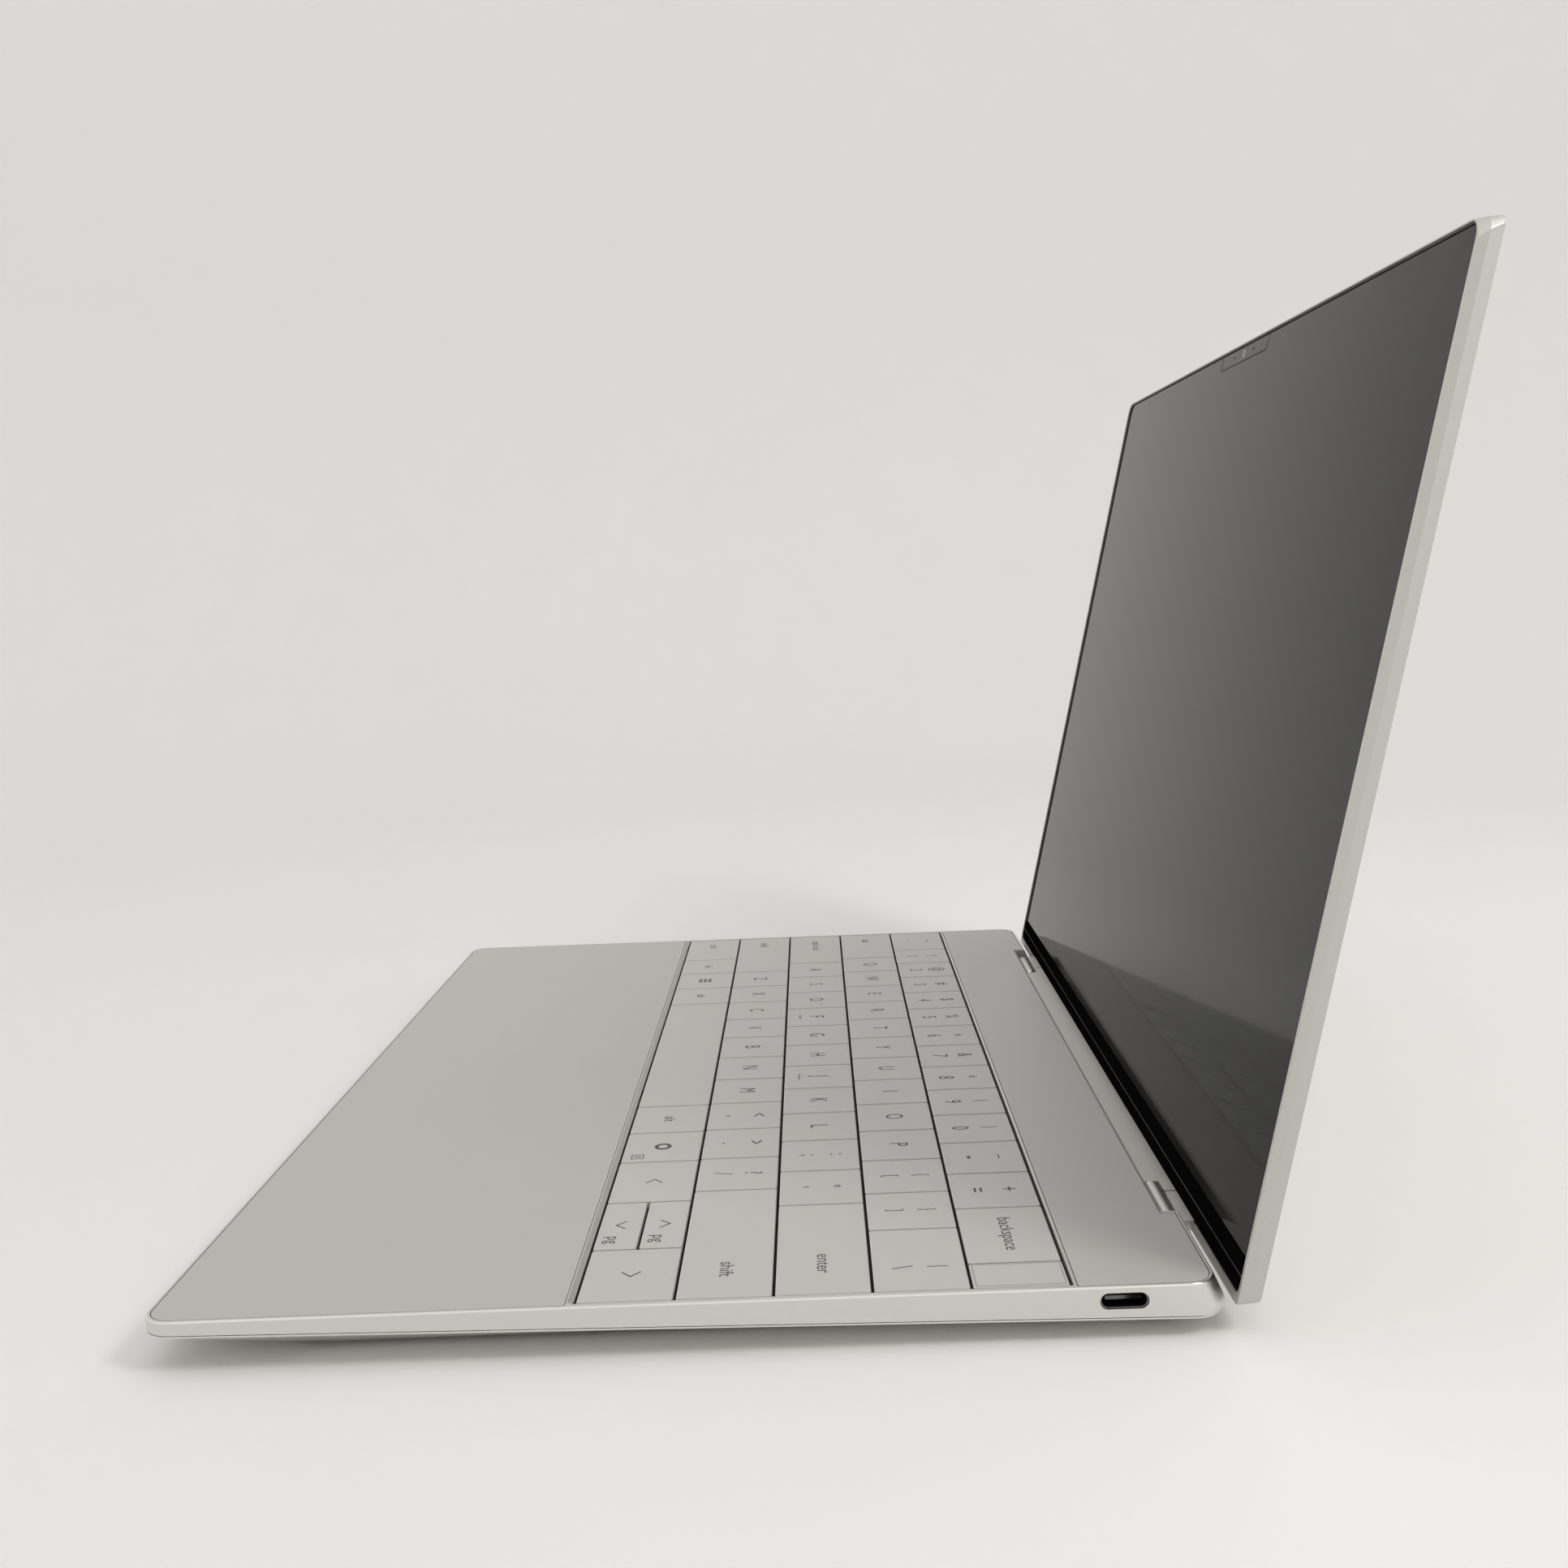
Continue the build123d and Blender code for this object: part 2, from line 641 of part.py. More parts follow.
# ---------------------------------------------------------------- inside the base
def make_touchpad():
    """The haptic touchpad under the palm rest glass, with its two actuators."""
    top = -glass_seat
    bottom = top - touchpad_thickness
    pad = block(-touchpad_width / 2, touchpad_width / 2, touchpad_front, touchpad_front + touchpad_depth,
                bottom, top)
    for x in (-actuator_spacing / 2, actuator_spacing / 2):
        pad += post(x, touchpad_front + touchpad_depth / 2, bottom - actuator_height, bottom, actuator_radius)
    return pad


def make_battery():
    """Three flat battery cells in one pack."""
    half = battery_width / 2
    top = inner_floor + battery_thickness
    pack = block(-half, half, battery_front, battery_front + battery_depth, inner_floor, top)
    for x in (-half / 3, half / 3):
        pack -= block(x - battery_cell_gap / 2, x + battery_cell_gap / 2, battery_front,
                      battery_front + battery_depth, top - battery_cell_groove, top)
    return pack


def make_speakers():
    """A speaker box at each end of the battery."""
    near = battery_width / 2 + speaker_gap
    box = slab(near, near + speaker_width, battery_front, battery_front + speaker_depth, inner_floor,
               inner_floor + battery_thickness, fan_wall)
    return Compound(both_sides(box))


def make_main_board():
    """The main board, with the processor and memory on its underside."""
    half = board_width / 2
    board = block(-half, half, board_front, board_rear, board_bottom, board_top)
    board += block(-processor_width / 2, processor_width / 2, processor_y - processor_depth / 2,
                   processor_y + processor_depth / 2, board_bottom - processor_thickness, board_bottom)
    for index in range(4):
        x = (index - 1.5) * 1.5 * memory_width
        y = processor_y - processor_depth / 2 - memory_depth
        board += block(x - memory_width / 2, x + memory_width / 2, y - memory_depth / 2, y + memory_depth / 2,
                       board_bottom - memory_thickness, board_bottom)
    return board


def make_ssd():
    """The storage card under the front of the main board."""
    x0 = ssd_inset - board_width / 2
    y0 = board_front + ssd_inset
    top = board_bottom - inner_gap
    return block(x0, x0 + ssd_depth, y0, y0 + ssd_width, top - ssd_thickness, top)


def make_fan_housing(x):
    """A flat fan housing, open to the rear, with an inlet above and below."""
    half = fan_width / 2
    low, high = inner_floor, inner_floor + fan_thickness
    front, rear = fan_middle_y - fan_depth / 2, fan_middle_y + fan_depth / 2
    housing = slab(x - half, x + half, front, rear, low, high, 2 * fan_wall)
    room = block(x - half + fan_wall, x + half - fan_wall, fan_middle_y, rear + 1, low + fan_plate,
                 high - fan_plate)
    room += post(x, fan_middle_y, low + fan_plate, high - fan_plate, half - fan_wall)
    housing -= room
    housing -= post(x, fan_middle_y, high - fan_plate, high, fan_inlet_radius)
    ring = post(x, fan_middle_y, low, low + fan_plate, fan_inlet_radius)
    ring -= post(x, fan_middle_y, low, low + fan_plate, fan_hub_radius)
    for angle in (0, 60, 120):
        spoke = Pos(x, fan_middle_y, low + fan_plate / 2) * Rot(0, 0, angle)
        ring -= spoke * Box(2 * fan_inlet_radius, 2 * fan_wall, fan_plate)
    housing -= ring
    return housing + post(x, fan_middle_y, low, high - fan_plate - inner_gap, fan_post_radius)


def make_fan_rotor(x):
    """A hub with raked blades on the housing's post."""
    low = inner_floor + fan_plate + inner_gap
    high = low + fan_rotor_thickness
    rotor = post(x, fan_middle_y, low, high, fan_hub_radius)
    reach = fan_rotor_radius - fan_hub_radius
    for index in range(fan_blades):
        place = Pos(x, fan_middle_y, (low + high) / 2) * Rot(0, 0, index * 360 / fan_blades)
        place = place * Pos(fan_hub_radius - fan_wall, 0, 0) * Rot(0, 0, fan_blade_rake)
        rotor += place * Pos(reach / 2, 0, 0) * Box(reach, fan_blade_thickness, high - low)
    return rotor - post(x, fan_middle_y, low, high, fan_post_radius + fan_post_clearance)


def make_heat_sink():
    """Heat pipe, processor plate and a stack of fins behind each fan."""
    top = board_bottom - processor_thickness
    pipe_front = fin_middle_y - (fin_stack_depth - fin_stack_gap) / 2
    plate = block(-processor_width / 2, processor_width / 2, processor_y - processor_depth / 2,
                  pipe_front + heat_pipe_width / 2, top - heat_plate_thickness, top)
    pipe_half = fan_middle_x + fan_width / 2
    sink = plate + slab(-pipe_half, pipe_half, pipe_front, pipe_front + heat_pipe_width,
                        top - heat_pipe_thickness, top, heat_pipe_width / 2.1)
    fins = int(fan_width / fin_pitch)
    fin_bottom = inner_floor
    for side in (-1, 1):
        for index in range(fins):
            x = side * fan_middle_x + (index - (fins - 1) / 2) * fin_pitch
            sink += block(x - fin_thickness / 2, x + fin_thickness / 2,
                          fin_middle_y - (fin_stack_depth - fin_stack_gap) / 2,
                          fin_middle_y + (fin_stack_depth - fin_stack_gap) / 2,
                          fin_bottom, fin_bottom + fin_height)
    return sink


def make_usb_ports():
    """A USB-C receptacle in each side wall."""
    outer = base_half - port_recess
    back = outer - port_depth
    wide, high = port_width - 2 * port_clearance, port_height - 2 * port_clearance
    shell = port_slot(back, outer, wide, high)
    shell -= port_slot(back + port_back, outer, wide - 2 * port_shell_wide, high - 2 * port_shell_flat)
    tongue = block(back, outer - port_tongue_recess, port_y - port_tongue_width / 2,
                   port_y + port_tongue_width / 2, -port_drop - port_tongue_thickness / 2,
                   -port_drop + port_tongue_thickness / 2)
    return Compound(both_sides(shell + tongue))


def screw(x, y, head_z):
    """One screw, head down, with the underside of its head at head_z."""
    shank = post(x, y, head_z, head_z + screw_length, screw_shaft_radius)
    return shank + post(x, y, head_z - screw_head_height, head_z, screw_head_radius)


def make_screws():
    """Bottom cover screws and hinge bracket screws."""
    screws = [screw(x, y, screw_head_height - base_height) for x, y in screw_places()]
    bracket_bottom = hinge_z - bracket_thickness / 2
    screws += [screw(x, y, bracket_bottom) for x, y in bracket_screw_places()]
    return Compound(screws)


# ---------------------------------------------------------------- hinge
def make_hinge_bracket():
    """The right-hand base bracket: a barrel on the hinge axis and a plate screwed to the deck."""
    inner = barrel_inner
    outer = inner + hinge_barrel_length
    barrel = rod(inner, outer, hinge_y, hinge_z, hinge_barrel_radius)
    barrel = fillet(barrel.edges().filter_by(GeomType.CIRCLE).group_by(Axis.X)[0], barrel_end_round)
    half = bracket_thickness / 2
    margin = barrel_end_round
    bracket = barrel + block(inner + margin, outer - margin, hinge_y - bracket_reach, hinge_y,
                             hinge_z - half, hinge_z + half)
    bracket -= rod(inner, outer, hinge_y, hinge_z, hinge_pin_radius + hinge_pin_clearance)
    for x, y in bracket_screw_places():
        bracket -= post(x, y, hinge_z - half, hinge_z + half, screw_shaft_radius + screw_clearance)
    return bracket


def spine_bar(x0, x1, full):
    """A stretch of the spine: the full bar around the hinge axis, or only its neck behind a barrel."""
    room = 3 * hinge_barrel_radius
    bar = block(x0, x1, hinge_y - room, lid_rear, hinge_z - spine_reach, lid_face)
    over = block(x0, x1, hinge_y - room, hinge_y + 2 * room, hinge_z + spine_rise, hinge_z + 2 * room)
    bar -= over.rotate(hinge_axis, lid_rest_angle)
    if full:
        return bar
    return bar - rod(x0, x1, hinge_y, hinge_z, hinge_barrel_radius + spine_barrel_clearance)


def make_hinge_spine():
    """The aluminium spine on the lid's lower edge, which holds the hinge pins."""
    spine = spine_bar(-spine_half_width, spine_half_width, True)
    for neck in both_sides(spine_bar(spine_half_width, spine_slot_at, False)):
        spine += neck
    seat = rod(spine_half_width - pin_grip, spine_half_width, hinge_y, hinge_z,
               hinge_pin_radius + pin_seat_clearance)
    for hole in both_sides(seat):
        spine -= hole
    return spine


def make_spine_ends():
    """The two outer ends of the spine, over the hinge barrels."""
    return Compound(both_sides(spine_bar(spine_slot_at + spine_slot, spine_end, False)))


def make_hinge_pins():
    """The two hinge pins."""
    pin = rod(spine_half_width - pin_grip + pin_seat_clearance, barrel_inner + hinge_barrel_length
              - hinge_pin_clearance, hinge_y, hinge_z, hinge_pin_radius)
    return Compound(both_sides(pin))


# ---------------------------------------------------------------- lid
def pocket_plan(inset):
    """Outline of the pocket for the display, drawn in from the rim around it."""
    side = base_half - lid_side_rim - inset
    front_corner = lid_corner_radius - lid_side_rim - inset
    return plan(-side, side, lid_front + lid_front_rim + inset, lid_rear - lid_rear_rim - inset,
                front_corner, pocket_rear_radius - inset)


def lid_section(z, side, front, rear, corner):
    """Outline of the lid at one height: side and rear drawn in, front drawn out."""
    return Pos(0, 0, z) * plan(side - base_half, base_half - side, lid_front - front, lid_rear - rear,
                               corner, lid_rear_corner_radius)


def make_lid_cover():
    """The aluminium lid shell, open towards the keyboard."""
    edge = lid_back_edge
    mean_radius = (lid_corner_radius + lid_back_corner_radius) / 2
    cover = loft([
        lid_section(lid_face, 0, 0, 0, lid_corner_radius),
        lid_section(lid_face + lid_band, 0, lid_lip / 2, lid_rear_taper / 2, mean_radius),
        lid_section(lid_outer - edge, lid_bevel_in, lid_lip, lid_rear_taper, lid_back_corner_radius),
        lid_section(lid_outer, lid_bevel_in + edge, lid_lip - edge, lid_rear_taper + edge,
                    lid_back_corner_radius),
    ], ruled=True)
    cover -= Pos(0, 0, lid_face) * extrude(pocket_plan(0), amount=glass_recess + display_glass_thickness)
    cover -= Pos(0, 0, lid_face) * extrude(pocket_plan(glass_ledge), amount=lid_thickness - lid_back)
    return cover


def glass_rear():
    """The display glass's lower edge, next to the chin strip."""
    return lid_rear - lid_rear_rim - gasket_width - chin_height


def camera_notch(clearance):
    """Outline of the camera window in the glass's top edge, grown by a clearance."""
    top = lid_front + lid_front_rim + gasket_width
    half = camera_window_width / 2 + clearance
    low = top + camera_window_height + clearance
    slant = camera_window_slant
    points = [(-half, top - clearance), (half, top - clearance), (half, low - slant), (half - slant, low),
              (slant - half, low), (-half, low - slant)]
    return make_face(Polyline(*points, close=True))


def make_display_glass():
    """The cover glass of the display, with a notch for the camera window."""
    outline = pocket_plan(gasket_width)
    chin = Pos(0, glass_rear() + lid_rear / 2) * Rectangle(2 * base_half, lid_rear)
    outline = outline - chin - camera_notch(panel_bond)
    return Pos(0, 0, lid_face + glass_recess) * extrude(outline, amount=display_glass_thickness)


def make_camera_window():
    """The small dark window in front of the camera."""
    window = Pos(0, 0, lid_face + glass_recess) * extrude(camera_notch(0), amount=display_glass_thickness)
    return window


def make_gasket():
    """The soft black frame between the lid's rim and the display glass."""
    ring = pocket_plan(pin_seat_clearance) - pocket_plan(gasket_width - pin_seat_clearance)
    depth = glass_recess + display_glass_thickness - gasket_recess
    return Pos(0, 0, lid_face + gasket_recess) * extrude(ring, amount=depth)


def make_chin():
    """The black strip between the display glass and the hinge."""
    edge = glass_rear() + panel_bond
    outline = pocket_plan(gasket_width) & Pos(0, edge + lid_rear / 2) * Rectangle(2 * base_half, lid_rear)
    return Pos(0, 0, lid_face + chin_recess) * extrude(outline, amount=chin_thickness)


def display_board_front():
    """Front edge of the display's control board, which ends at the pocket's rear ledge."""
    return lid_rear - lid_rear_rim - glass_ledge - panel_margin - display_board_height


def make_display_panel():
    """The display panel behind the glass."""
    half = base_half - lid_side_rim - glass_ledge - panel_margin
    front = lid_front + lid_front_rim + glass_ledge + camera_window_height
    rear = display_board_front() - inner_gap
    top = lid_face + glass_recess + display_glass_thickness + panel_bond
    return block(-half, half, front, rear, top, top + panel_thickness)


def make_camera():
    """The camera module, with its lens towards the window."""
    front = lid_front + lid_front_rim + glass_ledge + panel_bond
    rear = front + camera_module_height
    seat = lid_face + glass_recess + display_glass_thickness
    top = seat + inner_gap
    module = block(-camera_module_width / 2, camera_module_width / 2, front, rear, top,
                   top + camera_module_thickness)
    return module + post(0, (front + rear) / 2, seat + pin_seat_clearance, top, camera_lens_radius)


def make_display_board():
    """The display's control board, below the panel."""
    front = display_board_front()
    low = lid_face + chin_recess + chin_thickness + inner_gap
    half = display_board_width / 2
    return block(-half, half, front, front + display_board_height, low, low + display_board_thickness)


# ---------------------------------------------------------------- assembly
def base_nodes():
    """Every node that stays with the base, keys and rotors included."""
    bracket = make_hinge_bracket()
    nodes = {
        "base_frame": make_base_frame(),
        "palm_rest_glass": make_palm_rest(),
        "function_bar": make_function_bar(),
        "bottom_cover": make_bottom_cover(),
        "rubber_feet": make_rubber_feet(),
        "case_screws": make_screws(),
        "keyboard_plate": make_keyboard_plate(),
        "keyboard_tray": make_keyboard_tray(),
        "touchpad_module": make_touchpad(),
        "battery_pack": make_battery(),
        "speakers": make_speakers(),
        "main_board": make_main_board(),
        "ssd_module": make_ssd(),
        "heat_sink": make_heat_sink(),
        "usb_ports": make_usb_ports(),
        "fan_housing_left": make_fan_housing(-fan_middle_x),
        "fan_housing_right": make_fan_housing(fan_middle_x),
        "fan_rotor_left": make_fan_rotor(-fan_middle_x),
        "fan_rotor_right": make_fan_rotor(fan_middle_x),
        "hinge_bracket_left": mirror(bracket, Plane.YZ),
        "hinge_bracket_right": bracket,
    }
    nodes.update(make_keys())
    return nodes


def lid_nodes():
    """Every node that swings with the lid."""
    return {
        "lid_cover": make_lid_cover(),
        "display_glass": make_display_glass(),
        "display_gasket": make_gasket(),
        "chin_strip": make_chin(),
        "display_panel": make_display_panel(),
        "display_board": make_display_board(),
        "camera_window": make_camera_window(),
        "camera_module": make_camera(),
        "hinge_spine": make_hinge_spine(),
        "spine_ends": make_spine_ends(),
        "hinge_pins": make_hinge_pins(),
    }


def assemble():
    """All nodes in the part's own frame, with the lid open."""
    nodes = base_nodes()
    for name, piece in lid_nodes().items():
        nodes[name] = piece.rotate(hinge_axis, -lid_rest_angle)
    box = Compound(list(nodes.values())).bounding_box()
    to_origin = Pos(-(box.min.X + box.max.X) / 2, -(box.min.Y + box.max.Y) / 2, -box.min.Z)
    return {name: to_origin * piece for name, piece in nodes.items()}


def write_parts():
    """Write each node to its own STEP file."""
    os.makedirs("parts", exist_ok=True)
    for name, piece in assemble().items():
        export_step(piece, f"parts/{name}.step")


write_parts()
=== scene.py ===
import json
from math import cos, pi, radians, sin

import bmesh
import bpy
from bpy.props import FloatProperty, FloatVectorProperty, IntProperty, PointerProperty
from mathutils import Euler, Matrix, Vector

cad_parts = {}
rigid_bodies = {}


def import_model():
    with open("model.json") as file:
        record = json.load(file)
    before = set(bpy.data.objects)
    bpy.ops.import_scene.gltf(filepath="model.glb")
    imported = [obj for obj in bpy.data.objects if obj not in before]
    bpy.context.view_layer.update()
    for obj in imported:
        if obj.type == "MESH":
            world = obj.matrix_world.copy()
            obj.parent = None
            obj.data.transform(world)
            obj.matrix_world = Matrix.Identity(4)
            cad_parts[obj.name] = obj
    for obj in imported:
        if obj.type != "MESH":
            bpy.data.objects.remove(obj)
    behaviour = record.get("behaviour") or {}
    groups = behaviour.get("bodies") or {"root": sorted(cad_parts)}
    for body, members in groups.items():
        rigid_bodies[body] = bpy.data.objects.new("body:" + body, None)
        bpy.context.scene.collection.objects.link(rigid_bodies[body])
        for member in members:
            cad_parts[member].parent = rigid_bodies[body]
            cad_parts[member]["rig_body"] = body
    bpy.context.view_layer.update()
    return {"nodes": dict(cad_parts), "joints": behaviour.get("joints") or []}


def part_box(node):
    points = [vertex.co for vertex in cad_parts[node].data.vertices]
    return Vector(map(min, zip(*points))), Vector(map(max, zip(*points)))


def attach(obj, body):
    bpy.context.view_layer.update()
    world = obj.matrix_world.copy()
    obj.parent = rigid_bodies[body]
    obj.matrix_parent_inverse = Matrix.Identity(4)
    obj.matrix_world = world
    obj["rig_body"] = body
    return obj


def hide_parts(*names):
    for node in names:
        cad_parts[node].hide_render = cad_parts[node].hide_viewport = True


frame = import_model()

bl_info = {
    "name": "Slim Laptop Finish",
    "version": (1, 0, 0),
    "blender": (4, 5, 0),
    "location": "View3D > Sidebar > Laptop",
    "description": "Key lettering, glass, metal and small trim for a slim laptop computer",
    "category": "Object",
}

MM = 0.001
NODES = frame["nodes"]
BODY_OF = {node.name: node["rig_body"] for node in NODES.values()}


# ------------------------------------------------------------------ places taken from the frame
CAP_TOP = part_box("key_space")[1].z
CAP_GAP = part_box("keys_q_to_t")[0].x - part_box("key_tab")[1].x
DECK_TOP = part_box("palm_rest_glass")[1].z
LID = next(joint for joint in frame["joints"] if joint["name"] == "lid_hinge")
LID_OPEN = -radians(LID["range_deg"][0])
HINGE = Vector(LID["pos_m"])


def lid_frame():
    """Matrix from the open lid's own axes to the scene: X along it, Y down it, Z out of its back."""
    return Matrix.Translation(HINGE) @ Matrix.Rotation(-LID_OPEN, 4, "X")


def on_lid(point):
    """A point of the open lid in the lid's own axes, which start at the hinge."""
    return lid_frame().inverted() @ Vector(point)


def lid_box(node):
    """Box of a lid node in the lid's own axes."""
    points = [on_lid(vertex.co) for vertex in NODES[node].data.vertices]
    low = Vector(min(point[i] for point in points) for i in range(3))
    high = Vector(max(point[i] for point in points) for i in range(3))
    return low, high


# ------------------------------------------------------------------ colour
def linear(code):
    """Linear RGB of an sRGB hex colour."""
    parts = [int(code[i:i + 2], 16) / 255 for i in (0, 2, 4)]
    return [part / 12.92 if part <= 0.04045 else ((part + 0.055) / 1.055) ** 2.4 for part in parts]


def colour_property(name, description, code):
    """A colour that a user may change."""
    return FloatVectorProperty(name=name, description=description, subtype="COLOR", size=3, min=0, max=1,
                               default=linear(code))


def length_property(name, description, value):
    """A length in metres that a user may change."""
    return FloatProperty(name=name, description=description, default=value * MM, min=0, unit="LENGTH",
                         precision=5)


class LaptopColours(bpy.types.PropertyGroup):
    """Colours of the laptop's finishes"""
    metal: colour_property("Metal", "Blasted and anodised aluminium of the base and lid", "DCDAD6")
    deck: colour_property("Deck", "Satin glass of the palm rest and the function bar", "BBB9B5")
    keys: colour_property("Keys", "Moulded key caps", "C3C2BE")
    print_ink: colour_property("Print", "Ink of the key legends", "484948")
    screen: colour_property("Screen", "Display panel seen through its cover glass", "08090A")
    black: colour_property("Black trim", "Chin strip, gasket and port linings", "0C0C0D")
    floor: colour_property("Floor", "Paper under and behind the laptop", "F2F1EF")


class LaptopSizes(bpy.types.PropertyGroup):
    """Sizes of the trim that is added to the frame"""
    letter_height: length_property("Letter height", "Font size of a single letter legend", 6.1)
    sign_height: length_property("Sign height", "Font size of a digit or a sign", 5.8)
    word_height: length_property("Word height", "Font size of a word on a wide key", 3.9)
    print_thickness: length_property("Print thickness", "How far the ink stands above a cap", 0.015)
    stroke: length_property("Stroke", "Width of a drawn line in a legend", 0.33)
    home_bar: length_property("Home bar", "Length of the raised bar on the F and J keys", 3.4)
    socket_radius: length_property("Screw socket", "Middle radius of a screw's driver socket", 0.75)
    contact_count: IntProperty(name="Contacts", description="Contacts on a port's tongue", default=12,
                               min=1)


class LaptopStage(bpy.types.PropertyGroup):
    """Camera and lights"""
    lens: FloatProperty(name="Lens", description="Focal length on a 36 mm sensor", default=36.4406,
                        unit="CAMERA")
    key_light: FloatProperty(name="Overhead light", description="Power of the large overhead light",
                             default=4.7, unit="POWER")
    side_light: FloatProperty(name="Side light", description="Power of the light at the camera's side",
                              default=2.3, unit="POWER")
    rear_light: FloatProperty(name="Rear light", description="Power of the small light behind the lid",
                              default=2.5, unit="POWER")
    world: FloatProperty(name="Surroundings", description="Brightness of the pale surroundings",
                         default=0.48)


# ------------------------------------------------------------------ node helpers
def add_node(tree, kind, settings=None, inputs=None, links=None):
    """Adds a node with its settings, its input values and its links from other sockets."""
    node = tree.nodes.new(kind)
    for key, value in (settings or {}).items():
        setattr(node, key, value)
    for key, value in (inputs or {}).items():
        node.inputs[key].default_value = value
    for key, socket in (links or {}).items():
        tree.links.new(socket, node.inputs[key])
    return node


def new_material(name):
    """An empty node material with its output, shader and Object coordinates."""
    material = bpy.data.materials.new(name)
    material.use_nodes = True
    tree = material.node_tree
    tree.nodes.clear()
    shader = add_node(tree, "ShaderNodeBsdfPrincipled")
    add_node(tree, "ShaderNodeOutputMaterial", links={"Surface": shader.outputs["BSDF"]})
    place = add_node(tree, "ShaderNodeTexCoord")
    return material, tree, shader, place.outputs["Object"]


def shade(shader, **values):
    """Sets values on the shader's own sockets."""
    for key, value in values.items():
        shader.inputs[key.replace("_", " ")].default_value = value


def grain(tree, shader, place, colour, size, spread, bump, height=0.00002):
    """Fine mottling: colour varies by spread over grains of the given size, with a bump."""
    noise = add_node(tree, "ShaderNodeTexNoise", inputs={"Scale": 1 / size, "Detail": 3.0},
                     links={"Vector": place})
    ramp = add_node(tree, "ShaderNodeMapRange", inputs={"To Min": 1 - spread, "To Max": 1 + spread},
                    links={"Value": noise.outputs["Fac"]})
    tint = add_node(tree, "ShaderNodeVectorMath", {"operation": "SCALE"},
                    inputs={0: colour}, links={"Scale": ramp.outputs["Result"]})
    tree.links.new(tint.outputs["Vector"], shader.inputs["Base Color"])
    relief = add_node(tree, "ShaderNodeBump", inputs={"Strength": bump, "Distance": height},
                      links={"Height": noise.outputs["Fac"]})
    tree.links.new(relief.outputs["Normal"], shader.inputs["Normal"])


# ------------------------------------------------------------------ materials
def anodised_aluminium(name, colour, roughness=0.42):
    """Blasted and anodised aluminium: an even satin sheen, its 0.1 mm grain drawn at 0.3 mm."""
    material, tree, shader, place = new_material(name)
    shade(shader, Metallic=1.0, Roughness=roughness)
    grain(tree, shader, place, colour, 0.3 * MM, 0.02, 0.05)
    return material


def cut_aluminium():
    """Diamond-cut chamfer: bare aluminium, brighter and smoother than the blasted faces."""
    material, tree, shader, place = new_material("diamond_cut_aluminium")
    shade(shader, Metallic=1.0, Roughness=0.3)
    grain(tree, shader, place, linear("F4F3F0"), 0.2 * MM, 0.01, 0.02)
    return material


def satin_glass(colour):
    """Etched glass over pale paint: a soft, wide sheen with hardly any grain and faint smudges."""
    material, tree, shader, place = new_material("etched_glass")
    shade(shader, IOR=1.52)
    grain(tree, shader, place, colour, 0.25 * MM, 0.012, 0.04)
    smudge = add_node(tree, "ShaderNodeTexNoise", inputs={"Scale": 1 / (35 * MM), "Detail": 2.0},
                      links={"Vector": place})
    rough = add_node(tree, "ShaderNodeMapRange", inputs={"To Min": 0.31, "To Max": 0.37},
                     links={"Value": smudge.outputs["Fac"]})
    tree.links.new(rough.outputs["Result"], shader.inputs["Roughness"])
    return material


def key_plastic(colour, name="coated_polycarbonate"):
    """Moulded and coated polycarbonate: matte, its 0.1 mm grain drawn at 0.25 mm."""
    material, tree, shader, place = new_material(name)
    shade(shader, Roughness=0.38, IOR=1.58)
    grain(tree, shader, place, colour, 0.25 * MM, 0.015, 0.06)
    return material


def legend_ink(colour):
    """Laser-marked legends: a matte mid grey, slightly uneven."""
    material, tree, shader, place = new_material("laser_marked_legend")
    shade(shader, Roughness=0.55)
    grain(tree, shader, place, colour, 0.2 * MM, 0.06, 0.02)
    return material


def display_glass(colour):
    """Hardened glass with an anti-reflection film over a dark panel: weak reflections, faint haze."""
    material, tree, shader, place = new_material("hardened_display_glass")
    shade(shader, IOR=1.25)
    haze = add_node(tree, "ShaderNodeTexNoise", inputs={"Scale": 1 / (28 * MM), "Detail": 4.0},
                    links={"Vector": place})
    rough = add_node(tree, "ShaderNodeMapRange", inputs={"To Min": 0.05, "To Max": 0.08},
                     links={"Value": haze.outputs["Fac"]})
    tree.links.new(rough.outputs["Result"], shader.inputs["Roughness"])
    tint = add_node(tree, "ShaderNodeMapRange", inputs={"To Min": 0.9, "To Max": 1.1},
                    links={"Value": haze.outputs["Fac"]})
    body = add_node(tree, "ShaderNodeVectorMath", {"operation": "SCALE"}, inputs={0: colour},
                    links={"Scale": tint.outputs["Result"]})
    tree.links.new(body.outputs["Vector"], shader.inputs["Base Color"])
    return material


def moulded_black(name, colour, roughness=0.45, size=0.3, gloss=0.5):
    """Black moulded plastic with a light spark-eroded grain."""
    material, tree, shader, place = new_material(name)
    shade(shader, Roughness=roughness, Specular_IOR_Level=gloss)
    grain(tree, shader, place, colour, size * MM, 0.15, 0.15)
    return material


def rubber(name, code):
    """Moulded silicone rubber: dull, with a soft stipple."""
    material, tree, shader, place = new_material(name)
    shade(shader, Roughness=0.7)
    grain(tree, shader, place, linear(code), 0.5 * MM, 0.12, 0.3)
    return material


def brushed_steel(name, code, roughness=0.32):
    """Rolled and brushed steel: fine lines along X, a few tenths of a millimetre apart."""
    material, tree, shader, place = new_material(name)
    shade(shader, Metallic=1.0, Roughness=roughness)
    lines = add_node(tree, "ShaderNodeMapping", inputs={"Scale": (0.06, 1, 1)}, links={"Vector": place})
    grain(tree, shader, lines.outputs["Vector"], linear(code), 0.2 * MM, 0.06, 0.08)
    return material


